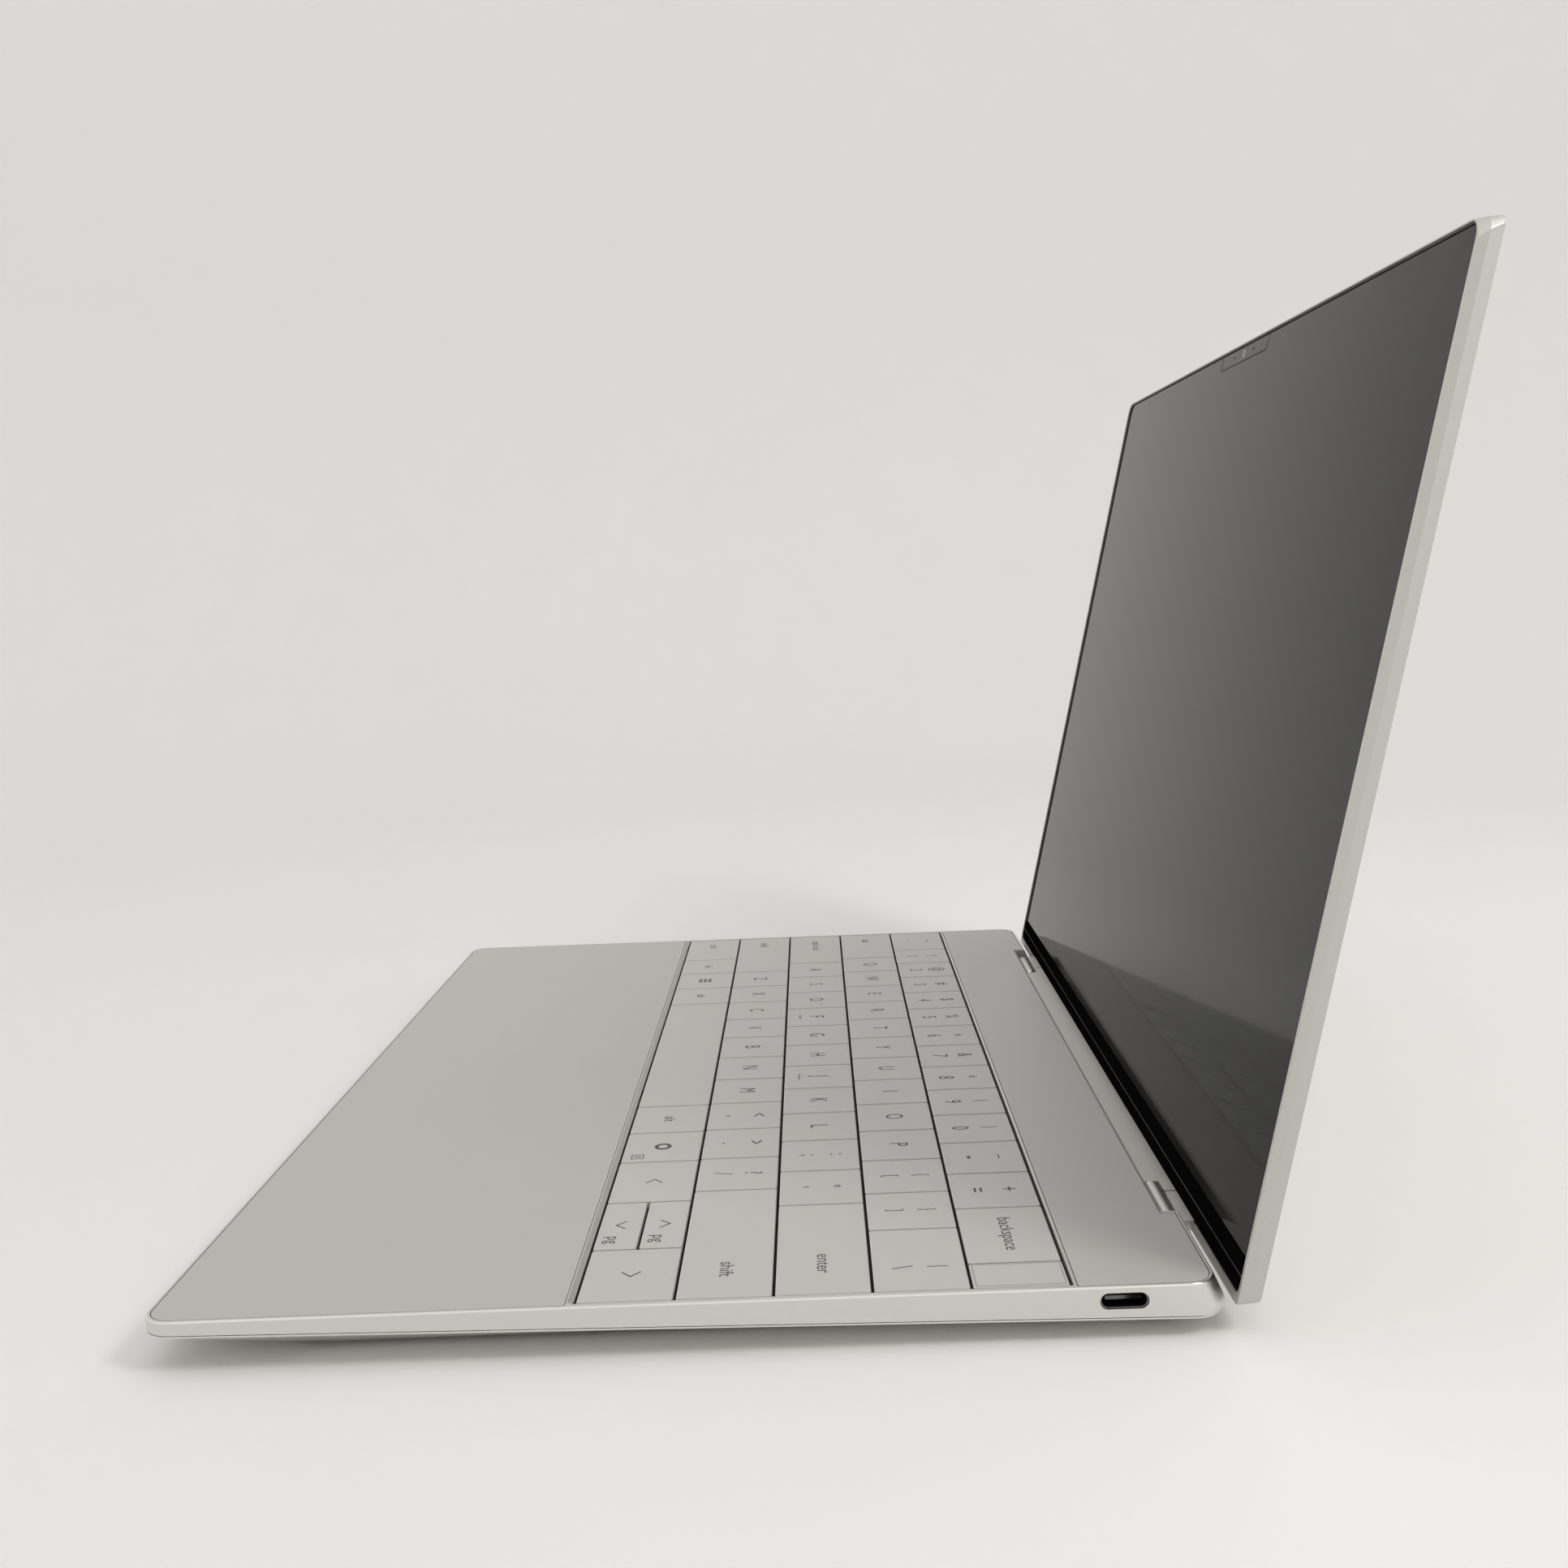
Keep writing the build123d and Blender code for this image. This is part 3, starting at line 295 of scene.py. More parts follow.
def gold_contact():
    """Gold-plated contact strip with faint wear."""
    material, tree, shader, place = new_material("gold_plate")
    shade(shader, Metallic=1.0, Roughness=0.25)
    grain(tree, shader, place, linear("E3BE6E"), 0.2 * MM, 0.05, 0.02)
    return material


def copper():
    """Sintered copper pipe and fins: warm, slightly stained."""
    material, tree, shader, place = new_material("annealed_copper")
    shade(shader, Metallic=1.0, Roughness=0.35)
    grain(tree, shader, place, linear("D58F66"), 6 * MM, 0.12, 0.03)
    return material


def circuit_board():
    """Solder mask over glass laminate: dark green, with fine copper tracks showing through."""
    material, tree, shader, place = new_material("solder_mask")
    shade(shader, Roughness=0.35)
    mask = {"Color1": (*linear("12382B"), 1), "Color2": (*linear("184636"), 1),
            "Mortar": (*linear("2E6B4C"), 1), "Scale": 1.0, "Mortar Size": 0.15 * MM,
            "Brick Width": 6 * MM, "Row Height": 1.2 * MM}
    tracks = add_node(tree, "ShaderNodeTexBrick", inputs=mask, links={"Vector": place})
    tree.links.new(tracks.outputs["Color"], shader.inputs["Base Color"])
    return material


def cell_foil():
    """Laminated battery foil: dark, with soft creases."""
    material, tree, shader, place = new_material("laminated_cell_foil")
    shade(shader, Roughness=0.4)
    grain(tree, shader, place, linear("2B2C2F"), 12 * MM, 0.15, 0.4, 0.0002)
    return material


# ------------------------------------------------------------------ mesh helpers
def add_object(name, mesh):
    """Links a new mesh object to the scene."""
    thing = bpy.data.objects.new(name, mesh)
    bpy.context.scene.collection.objects.link(thing)
    return thing


def finished(thing, material, body):
    """Gives a piece its material and lets it ride on its body."""
    thing.data.materials.clear()
    thing.data.materials.append(material)
    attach(thing, body)
    return thing


def from_bmesh(name, form):
    """An object made from a bmesh."""
    mesh = bpy.data.meshes.new(name)
    form.to_mesh(mesh)
    form.free()
    return add_object(name, mesh)


WELD = 0.0004 * MM     # corners of a CAD node that lie nearer than this are one corner
FLAT = radians(0.5)    # triangles that meet at less than this angle are one face
SHARP, LID_SHARP = 35, 10    # degrees past which an edge is drawn sharp


def dressed(node, angle=SHARP):
    """A welded, smooth-shaded copy of a CAD node that stands for it."""
    form = bmesh.new()
    form.from_mesh(NODES[node].data)
    bmesh.ops.remove_doubles(form, verts=form.verts, dist=WELD)
    bmesh.ops.dissolve_limit(form, angle_limit=FLAT, verts=form.verts, edges=form.edges)
    thing = from_bmesh(node + "_finish", form)
    thing.data.materials.clear()
    for face in thing.data.polygons:
        face.use_smooth = True
        face.material_index = 0
    thing.data.set_sharp_from_angle(angle=radians(angle))
    flatten = thing.modifiers.new("flat_shading", "WEIGHTED_NORMAL")
    flatten.keep_sharp = True
    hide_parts(node)
    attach(thing, BODY_OF[node])
    return thing


def slanted(face):
    """Whether a face slopes as a chamfer under a level surface does."""
    return 0.3 < face.normal.z < 0.95


def ribbon(form, points, width, low, high):
    """Adds a flat stroke of the given width along points to a bmesh, between two heights."""
    half = width / 2
    for start, end in zip(points, points[1:]):
        along = (Vector(end) - Vector(start)).normalized() * half
        side = Vector((-along.y, along.x))
        corners = [Vector(start) - along + side, Vector(start) - along - side,
                   Vector(end) + along - side, Vector(end) + along + side]
        below = [form.verts.new((corner.x, corner.y, low)) for corner in corners]
        above = [form.verts.new((corner.x, corner.y, high)) for corner in corners]
        form.faces.new(above)
        form.faces.new(below[::-1])
        for i in range(4):
            form.faces.new((below[i], below[(i + 1) % 4], above[(i + 1) % 4], above[i]))


def solid_box(form, low, high):
    """Adds a box to a bmesh."""
    middle, size = (Vector(low) + Vector(high)) / 2, Vector(high) - Vector(low)
    made = bmesh.ops.create_cube(form, size=1)
    bmesh.ops.scale(form, verts=made["verts"], vec=size)
    bmesh.ops.translate(form, verts=made["verts"], vec=middle)
    return made["verts"]


def ring(form, centre, inner, outer, low, high, steps=32):
    """Adds a flat ring around the Z axis of centre to a bmesh."""
    loops = []
    for radius, z in ((inner, low), (outer, low), (outer, high), (inner, high)):
        loops.append([form.verts.new((centre[0] + radius * cos(2 * pi * i / steps),
                                      centre[1] + radius * sin(2 * pi * i / steps), z))
                      for i in range(steps)])
    for a, b in zip(loops, loops[1:] + loops[:1]):
        for i in range(steps):
            form.faces.new((a[i], a[(i + 1) % steps], b[(i + 1) % steps], b[i]))
    bmesh.ops.recalc_face_normals(form, faces=form.faces)


def row_tree():
    """Geometry nodes that repeat an item along a straight line."""
    tree = bpy.data.node_groups.new("straight_row", "GeometryNodeTree")
    for name, kind in (("Item", "NodeSocketObject"), ("Count", "NodeSocketInt"),
                       ("Start", "NodeSocketVector"), ("Step", "NodeSocketVector"),
                       ("Material", "NodeSocketMaterial")):
        tree.interface.new_socket(name, in_out="INPUT", socket_type=kind)
    tree.interface.new_socket("Geometry", in_out="OUTPUT", socket_type="NodeSocketGeometry")
    start = add_node(tree, "NodeGroupInput")
    line = add_node(tree, "GeometryNodeMeshLine", links={"Count": start.outputs["Count"],
                    "Start Location": start.outputs["Start"], "Offset": start.outputs["Step"]})
    item = add_node(tree, "GeometryNodeObjectInfo", links={"Object": start.outputs["Item"]})
    row = add_node(tree, "GeometryNodeInstanceOnPoints", links={"Points": line.outputs["Mesh"],
                   "Instance": item.outputs["Geometry"]})
    real = add_node(tree, "GeometryNodeRealizeInstances", links={"Geometry": row.outputs["Instances"]})
    paint = add_node(tree, "GeometryNodeSetMaterial", links={"Geometry": real.outputs["Geometry"],
                     "Material": start.outputs["Material"]})
    add_node(tree, "NodeGroupOutput", links={"Geometry": paint.outputs["Geometry"]})
    return tree


def repeat(name, item, count, start, step, material):
    """A plain mesh of an item repeated along a line, made by the straight_row nodes."""
    tree = bpy.data.node_groups.get("straight_row") or row_tree()
    holder = add_object(name + "_row", bpy.data.meshes.new(name + "_row"))
    modifier = holder.modifiers.new("row", "NODES")
    modifier.node_group = tree
    values = {"Item": item, "Count": count, "Start": list(start), "Step": list(step),
              "Material": material}
    for socket in tree.interface.items_tree:
        if socket.in_out == "INPUT":
            modifier[socket.identifier] = values[socket.name]
    graph = bpy.context.evaluated_depsgraph_get()
    mesh = bpy.data.meshes.new_from_object(holder.evaluated_get(graph))
    bpy.data.objects.remove(holder)
    mesh.name = name
    return add_object(name, mesh)


def drop(*things):
    """Removes helper objects."""
    for thing in things:
        bpy.data.objects.remove(thing)


def joined(name, things):
    """Joins mesh objects into one."""
    form = bmesh.new()
    for thing in things:
        form.from_mesh(thing.data)
    materials = list(things[0].data.materials)
    drop(*things)
    made = from_bmesh(name, form)
    for material in materials:
        made.data.materials.append(material)
    return made


# ------------------------------------------------------------------ key legends
def cap_boxes(node, count=1):
    """Left, right, front and rear of each cap in a node."""
    low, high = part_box(node)
    pitch = (high.x - low.x + CAP_GAP) / count
    boxes = []
    for i in range(count):
        left = low.x + i * pitch
        boxes.append((left, left + pitch - CAP_GAP, low.y, high.y))
    return boxes


def text_mesh(text, size, x, y, align="CENTER", narrow=1.0):
    """Flat mesh of a printed text at a place on the key caps, narrowed to a share of its width."""
    sizes = bpy.context.scene.laptop_sizes
    curve = bpy.data.curves.new("legend", "FONT")
    curve.body = text
    curve.size = size
    curve.align_x = align
    curve.resolution_u = 3
    curve.extrude = sizes.print_thickness / 2
    thing = bpy.data.objects.new("legend", curve)
    bpy.context.scene.collection.objects.link(thing)
    graph = bpy.context.evaluated_depsgraph_get()
    mesh = bpy.data.meshes.new_from_object(thing.evaluated_get(graph))
    bpy.data.objects.remove(thing)
    middle = (min(v.co.y for v in mesh.vertices) + max(v.co.y for v in mesh.vertices)) / 2
    place = Matrix.Translation((x, y - middle, CAP_TOP + sizes.print_thickness / 2))
    mesh.transform(place @ Matrix.Diagonal((narrow, 1, 1, 1)))
    return mesh


SHIFT_SHARE, BASE_SHARE = 0.30, 0.68    # how far from a cap's rear its two signs stand
LETTER_WIDTH, SIGN_WIDTH = 0.75, 0.82    # how narrow letters and signs are drawn
SIGN_SIZE = {"[": 0.72, "]": 0.72, "{": 0.72, "}": 0.72, "|": 0.75, "-": 1.4, "(": 0.8, ")": 0.8}
SIGN_DROP = {",": 1.1, ".": 1.0}
SHIFTED = {"key_backslash": 3.8}

BANKS = {
    "keys_1_to_5": ["1!", "2@", "3#", "4$", "5%"],
    "keys_6_to_equals": ["6^", "7&", "8*", "9(", "0)", "-_", "=+"],
    "keys_q_to_t": list("QWERT"),
    "keys_y_to_bracket": ["Y", "U", "I", "O", "P", "[{", "]}"],
    "keys_a_to_g": list("ASDFG"),
    "keys_h_to_quote": ["H", "J", "K", "L", ";:", "'\""],
    "keys_z_to_b": list("ZXCVB"),
    "keys_n_to_slash": ["N", "M", ",<", ".>", "/?"],
    "key_backtick": ["`~"],
    "key_backslash": ["\\|"],
}
WORDS = {
    "key_tab": ("tab", "LEFT", 7.0), "key_caps": ("caps lock", "LEFT", 7.0),
    "key_shift_left": ("shift", "LEFT", 7.0), "key_ctrl": ("ctrl", "LEFT", 7.0),
    "key_fn": ("fn", "CENTER", 0), "key_alt_left": ("alt", "CENTER", 0),
    "key_alt_right": ("alt", "CENTER", 0), "key_backspace": ("backspace", "CENTER", 0),
    "key_enter": ("enter", "RIGHT", 8.7),
    "key_shift_right": ("shift", "RIGHT", 8.7),
}
PAGE_PLACE = (6.2, 1.6)    # millimetres from the cap's right, and in front of its middle
CHEVRONS = {"key_arrow_left": (-1, 0), "key_arrow_right": (1, 0), "key_arrow_up": (0, 1),
            "key_arrow_down": (0, -1)}


def bank_legend(node, legends):
    """Meshes of the legends on a node of equal caps."""
    sizes = bpy.context.scene.laptop_sizes
    meshes = []
    for legend, (left, right, front, rear) in zip(legends, cap_boxes(node, len(legends))):
        x = (left + right) / 2 + SHIFTED.get(node, 0) * MM
        if len(legend) == 1:
            y = (front + rear) / 2
            meshes.append(text_mesh(legend, sizes.letter_height, x, y, narrow=LETTER_WIDTH))
            continue
        for sign, share in zip(legend, (BASE_SHARE, SHIFT_SHARE)):
            size = sizes.sign_height * SIGN_SIZE.get(sign, 1)
            y = rear - share * (rear - front) - SIGN_DROP.get(sign, 0) * MM
            meshes.append(text_mesh(sign, size, x, y, narrow=SIGN_WIDTH))
    return meshes


def word_legend(node, word, align, margin):
    """Mesh of a word on a wide key."""
    sizes = bpy.context.scene.laptop_sizes
    left, right, front, rear = cap_boxes(node)[0]
    x = {"LEFT": left + margin * MM, "RIGHT": right - margin * MM, "CENTER": (left + right) / 2}[align]
    return [text_mesh(word, sizes.word_height, x, (front + rear) / 2, align)]


def chevron_legend(node, direction):
    """Mesh of an arrow key's chevron, with the page sign beside the up and down ones."""
    sizes = bpy.context.scene.laptop_sizes
    left, right, front, rear = cap_boxes(node)[0]
    middle = Vector(((left + right) / 2, (front + rear) / 2))
    along, side = Vector(direction), Vector((-direction[1], direction[0]))
    reach, spread = 0.95 * MM, 1.75 * MM
    points = [middle - along * reach + side * spread, middle + along * reach,
              middle - along * reach - side * spread]
    form = bmesh.new()
    ribbon(form, points, sizes.stroke, CAP_TOP, CAP_TOP + sizes.print_thickness)
    mesh = bpy.data.meshes.new("chevron")
    form.to_mesh(mesh)
    form.free()
    if direction[1]:
        page = right - PAGE_PLACE[0] * MM, middle.y - PAGE_PLACE[1] * MM
        return [mesh, text_mesh("pg", sizes.word_height, *page, "LEFT")]
    return [mesh]


def dot_grid_legend():
    """Mesh of the home key's sign: three by three small squares."""
    sizes = bpy.context.scene.laptop_sizes
    left, right, front, rear = cap_boxes("key_home")[0]
    pitch, dot = 1.5 * MM, 1.1 * MM
    form = bmesh.new()
    for i in range(3):
        for j in range(3):
            x = (left + right) / 2 + (i - 1) * pitch
            y = (front + rear) / 2 + (j - 1) * pitch
            solid_box(form, (x - dot / 2, y - dot / 2, CAP_TOP),
                      (x + dot / 2, y + dot / 2, CAP_TOP + sizes.print_thickness))
    mesh = bpy.data.meshes.new("dot_grid")
    form.to_mesh(mesh)
    form.free()
    return [mesh]


def menu_legend():
    """Mesh of the menu key's signs: a ring, and a small list in its front right corner."""
    sizes = bpy.context.scene.laptop_sizes
    left, right, front, rear = cap_boxes("key_menu")[0]
    low, high = CAP_TOP, CAP_TOP + sizes.print_thickness
    form = bmesh.new()
    ring(form, ((left + right) / 2, (front + rear) / 2), 1.1 * MM, 2.0 * MM, low, high)
    x, y = right - 4.4 * MM, front + 2.2 * MM
    width, depth = 2.6 * MM, 2.6 * MM
    corners = [(x, y), (x + width, y), (x + width, y + depth), (x, y + depth), (x, y)]
    ribbon(form, corners, sizes.stroke * 0.7, low, high)
    for share in (0.3, 0.5, 0.7):
        ribbon(form, [(x + 0.22 * width, y + share * depth), (x + 0.78 * width, y + share * depth)],
               sizes.stroke * 0.6, low, high)
    mesh = bpy.data.meshes.new("menu")
    form.to_mesh(mesh)
    form.free()
    return [mesh]


def power_outline():
    """Mesh of the fine line inside the power key's edge."""
    sizes = bpy.context.scene.laptop_sizes
    left, right, front, rear = cap_boxes("key_power")[0]
    inset = 0.5 * MM
    x0, x1, y0, y1 = left + inset, right - inset, front + inset, rear - inset
    form = bmesh.new()
    ribbon(form, [(x0, y0), (x1, y0), (x1, y1), (x0, y1), (x0, y0)], sizes.stroke * 0.3, CAP_TOP,
           CAP_TOP + sizes.print_thickness)
    mesh = bpy.data.meshes.new("power_outline")
    form.to_mesh(mesh)
    form.free()
    return [mesh]


def legend_piece(node, meshes, material):
    """One printed piece for a key body."""
    form = bmesh.new()
    for mesh in meshes:
        form.from_mesh(mesh)
        bpy.data.meshes.remove(mesh)
    bmesh.ops.remove_doubles(form, verts=form.verts, dist=0.0001 * MM)
    bmesh.ops.recalc_face_normals(form, faces=form.faces)
    piece = from_bmesh("legend_" + node, form)
    return finished(piece, material, BODY_OF[node])


# ------------------------------------------------------------------ operators
class LAPTOP_OT_metal(bpy.types.Operator):
    """Finish the aluminium shells, the hinge spine and the hinge brackets"""
    bl_idname = "laptop.metal"
    bl_label = "Metal Shells"

    def execute(self, context):
        metal = anodised_aluminium("anodised_aluminium", context.scene.laptop_colours.metal)
        lid_metal = anodised_aluminium("anodised_lid_aluminium", context.scene.laptop_colours.metal,
                                       0.56)
        # Corner bevels of the lid get a darker, rougher copy of the lid metal: painted shade that also
        # damps the highlight at the corner.
        bevel = anodised_aluminium("lid_bevel_painted_shade", linear("CCCAC6"), 0.65)
        bright = cut_aluminium()
        # The lid's side band gets a darker copy of the lid metal: painted shade for the lesser light
        # falling on it.
        shaded_band = anodised_aluminium("lid_band_painted_shade", linear("C4C2BE"))
        across = lid_frame().to_3x3().inverted()
        finishes = {"base_frame": (metal, bright), "lid_cover": (lid_metal, shaded_band, bevel)}
        for node in ("base_frame", "bottom_cover", "lid_cover", "hinge_spine", "spine_ends"):
            piece = dressed(node, LID_SHARP if node == "lid_cover" else SHARP)
            for finish in finishes.get(node, (metal,)):
                piece.data.materials.append(finish)
            if node == "base_frame":
                for face in piece.data.polygons:
                    if slanted(face) and face.center.z > DECK_TOP - 0.4 * MM:
                        face.material_index = 1
            if node == "lid_cover":
                for face in piece.data.polygons:
                    # Side faces take the band's painted shade, corner faces the bevel's painted shade.
                    sideways = abs((across @ face.normal).x)
                    if sideways > 0.3:
                        face.material_index = 1 if sideways > 0.97 else 2
        for node in ("hinge_bracket_left", "hinge_bracket_right"):
            dressed(node).data.materials.append(metal)
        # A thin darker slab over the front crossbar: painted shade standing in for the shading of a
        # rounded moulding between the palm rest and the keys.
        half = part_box("key_power")[1].x
        gap, under, over = 0.45 * MM, 0.05 * MM, 0.03 * MM
        form = bmesh.new()
        solid_box(form, (-half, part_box("palm_rest_glass")[1].y + gap, DECK_TOP - under),
                  (half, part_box("key_space")[0].y - gap, DECK_TOP + over))
        bar = anodised_aluminium("crossbar_painted_shade", linear("B5B3AF"), 0.5)
        finished(from_bmesh("front_crossbar_face", form), bar, "base")
        return {"FINISHED"}


class LAPTOP_OT_deck(bpy.types.Operator):
    """Finish the glass deck and the key caps"""
    bl_idname = "laptop.deck"
    bl_label = "Deck and Key Caps"

    def execute(self, context):
        colours = context.scene.laptop_colours
        glass = satin_glass(colours.deck)
        for node in ("palm_rest_glass", "function_bar"):
            dressed(node).data.materials.append(glass)
        plastic = key_plastic(colours.keys)
        # Front-facing top chamfers of the caps get a lighter copy of the key plastic: a painted
        # highlight where the edges catch the light.
        edge = key_plastic(linear("E6E5E2"), "cap_edge_painted_highlight")
        for name, node in NODES.items():
            if name.startswith("key_") or name.startswith("keys_"):
                node.data.materials.clear()
                node.data.materials.append(plastic)
                node.data.materials.append(edge)
                for face in node.data.polygons:
                    lit_front_edge = slanted(face) and face.normal.y < -0.3
                    face.material_index = int(lit_front_edge and face.center.z > CAP_TOP - 0.3 * MM)
        return {"FINISHED"}


class LAPTOP_OT_legends(bpy.types.Operator):
    """Print the key legends, each on its own key"""
    bl_idname = "laptop.legends"
    bl_label = "Key Legends"

    def execute(self, context):
        ink = legend_ink(context.scene.laptop_colours.print_ink)
        for node, legends in BANKS.items():
            legend_piece(node, bank_legend(node, legends), ink)
        for node, (word, align, margin) in WORDS.items():
            legend_piece(node, word_legend(node, word, align, margin), ink)
        for node, direction in CHEVRONS.items():
            legend_piece(node, chevron_legend(node, direction), ink)
        legend_piece("key_home", dot_grid_legend(), ink)
        legend_piece("key_menu", menu_legend(), ink)
        legend_piece("key_power", power_outline(), ink)
        return {"FINISHED"}


class LAPTOP_OT_home_bars(bpy.types.Operator):
    """Add the raised bars on the F and J keys"""
    bl_idname = "laptop.home_bars"
    bl_label = "Home Bars"

    def execute(self, context):
        sizes = context.scene.laptop_sizes
        # The bars take a darker copy of the key plastic: painted shade for their shaded sides.
        plastic = key_plastic(linear("8F8E8B"), "home_bar_painted_shade")
        from_front, half, under, over = 3.7 * MM, 0.25 * MM, 0.05 * MM, 0.3 * MM
        for node, count, index in (("keys_a_to_g", 5, 3), ("keys_h_to_quote", 6, 1)):
            left, right, front, _ = cap_boxes(node, count)[index]
            x, y = (left + right) / 2, front + from_front
            form = bmesh.new()
            solid_box(form, (x - sizes.home_bar / 2, y - half, CAP_TOP - under),
                      (x + sizes.home_bar / 2, y + half, CAP_TOP + over))
            bar = from_bmesh("home_bar_" + node, form)
            bevel = bar.modifiers.new("edge", "BEVEL")
            bevel.width = 0.15 * MM
            bevel.segments = 3
            finished(bar, plastic, BODY_OF[node])
        return {"FINISHED"}


class LAPTOP_OT_display(bpy.types.Operator):
    """Finish the display glass, the gasket, the chin strip and the camera"""
    bl_idname = "laptop.display"
    bl_label = "Display"

    def execute(self, context):
        colours = context.scene.laptop_colours
        glass = display_glass(colours.screen)
        trim = moulded_black("moulded_chin_plastic", colours.black, 0.7, gloss=0.0)
        for node in ("display_glass", "camera_window"):
            dressed(node).data.materials.append(glass)
        gasket = rubber("grey_silicone_gasket", "5A5B5E")
        dressed("display_gasket").data.materials.append(gasket)
        dressed("chin_strip").data.materials.append(trim)
        # A thin light line along the middle of the chin: a painted highlight of the glass edge there.
        low, high = lid_box("chin_strip")
        line = (low.y + high.y) / 2
        form = bmesh.new()
        ribbon(form, [(low.x, line), (high.x, line)], 0.1 * MM, low.z - 0.03 * MM, low.z + 0.02 * MM)
        form.transform(lid_frame())
        edge = moulded_black("chin_line_painted_highlight", linear("66686A"), 0.45)
        finished(from_bmesh("chin_edge_line", form), edge, "lid")
        low, high = lid_box("camera_window")
        outer, inner = low.z - 0.02 * MM, low.z + 0.02 * MM
        form = bmesh.new()
        slant, seam, microphone_spacing = 1.4 * MM, 0.2 * MM, 9 * MM
        outline = [(low.x, low.y), (low.x + slant, high.y), (high.x - slant, high.y), (high.x, low.y)]
        ribbon(form, outline, seam, outer, inner)
        middle = ((low.x + high.x) / 2, (low.y + high.y) / 2)
        for side in (-1, 1):
            place = (middle[0] + side * microphone_spacing, middle[1])
            ring(form, place, 0.05 * MM, 0.35 * MM, outer, inner, 16)
        form.transform(lid_frame())
        finished(from_bmesh("camera_window_seam", form), trim, "lid")
        # A light ring in the camera window: a painted glint standing in for light caught by the lens.
        form = bmesh.new()
        ring(form, middle, 0.5 * MM, 1.0 * MM, outer, inner)
        form.transform(lid_frame())
        rim = from_bmesh("camera_lens_ring", form)
        finished(rim, moulded_black("lens_ring_painted_glint", linear("B4B6B9"), 0.3), "lid")
        return {"FINISHED"}


class LAPTOP_OT_inside(bpy.types.Operator):
    """Finish the pieces inside the base and the lid"""
    bl_idname = "laptop.inside"
    bl_label = "Inner Pieces"

    def execute(self, context):
        black = bpy.data.materials["moulded_chin_plastic"]
        steel = brushed_steel("brushed_steel", "8C8D90")
        board = circuit_board()
        fan = moulded_black("moulded_fan_plastic", linear("17181A"), 0.4)
        rubber_mix = rubber("silicone_rubber", "26272A")
        finishes = {
            "keyboard_plate": moulded_black("painted_guide_plate", linear("141416"), 0.6),
            "keyboard_tray": black, "touchpad_module": steel, "battery_pack": cell_foil(),
            "speakers": fan, "main_board": board, "ssd_module": black, "heat_sink": copper(),
            "fan_housing_left": fan, "fan_housing_right": fan,
            "fan_rotor_left": fan, "fan_rotor_right": fan, "display_panel": black,
            "display_board": board, "camera_module": black, "hinge_pins": steel,
            "case_screws": steel, "rubber_feet": rubber_mix,
        }
        for node, material in finishes.items():
            NODES[node].data.materials.clear()
            NODES[node].data.materials.append(material)
        return {"FINISHED"}


class LAPTOP_OT_screws(bpy.types.Operator):
    """Lay a flat, dark six-lobed disc on each bottom screw: painted shade standing for a driver socket
    """
    bl_idname = "laptop.screws"
    bl_label = "Screw Sockets"

    def execute(self, context):
        radius = context.scene.laptop_sizes.socket_radius
        # The sockets are flat dark discs, not recesses: their darkness is painted shade.
        dark = moulded_black("socket_painted_shade", linear("1C1C1E"), 0.6)
        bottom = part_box("case_screws")[0].z
        head_depth, head_width = 0.55 * MM, 4 * MM
        steps, lobes, lobe_depth = 48, 6, 0.14
        under, over = 0.015 * MM, 0.02 * MM
        heads = []
        for vertex in NODES["case_screws"].data.vertices:
            if vertex.co.z - bottom > head_depth:
                continue
            near = next((head for head in heads if (head[0] - vertex.co.xy).length < head_width), None)
            if near:
                near[1].append(vertex.co.copy())
            else:
                heads.append((vertex.co.xy.copy(), [vertex.co.copy()]))
        form = bmesh.new()
        for _, points in heads:
            middle = sum(points, Vector()) / len(points)
            face = min(point.z for point in points)
            rim = []
            for i in range(steps):
                turn = 2 * pi * i / steps
                reach = radius * (1 + lobe_depth * cos(lobes * turn))
                rim.append((middle.x + reach * cos(turn), middle.y + reach * sin(turn)))
            below = [form.verts.new((x, y, face - under)) for x, y in rim]
            above = [form.verts.new((x, y, face + over)) for x, y in rim]
            form.faces.new(below[::-1])
            form.faces.new(above)
            for i in range(steps):
                j = (i + 1) % steps
                form.faces.new((below[i], below[j], above[j], above[i]))
        finished(from_bmesh("screw_sockets", form), dark, "base")
        return {"FINISHED"}


class LAPTOP_OT_ports(bpy.types.Operator):
    """Finish the two ports and add the contacts on their tongues"""
    bl_idname = "laptop.ports"
    bl_label = "Ports"

    def execute(self, context):
        count = context.scene.laptop_sizes.contact_count
        shell = dressed("usb_ports")
        shell.data.materials.append(brushed_steel("drawn_port_steel", "6F7073", 0.3))
        gold = gold_contact()
        low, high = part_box("usb_ports")
        middle_y, middle_z = (low.y + high.y) / 2, (low.z + high.z) / 2
        width, pitch, length, half = 0.3 * MM, 0.5 * MM, 4.0 * MM, 0.02 * MM
        tongue_half, tongue_depth = 0.35 * MM, 1.6 * MM
        rows = []
        for side in (-1, 1):
            tip = side * (high.x - tongue_depth)
            for face in (-1, 1):
                form = bmesh.new()
                solid_box(form, (-length / 2, -width / 2, -half), (length / 2, width / 2, half))
                strip = from_bmesh("strip", form)
                start = (tip - side * length / 2, middle_y - pitch * (count - 1) / 2,
                         middle_z + face * tongue_half)
                rows.append(repeat("contacts", strip, count, start, (0, pitch, 0), gold))
                drop(strip)
        finished(joined("port_contacts", rows), gold, "base")
        return {"FINISHED"}


CAMERA_PLACE = (0.42316, 0.00276, 0.13990)    # metres
CAMERA_TURN = (83.631, 1.995, 89.424)    # degrees about X, Y and Z
CAMERA_SHIFT = (-0.0250, -0.0175)    # shares of the picture's width


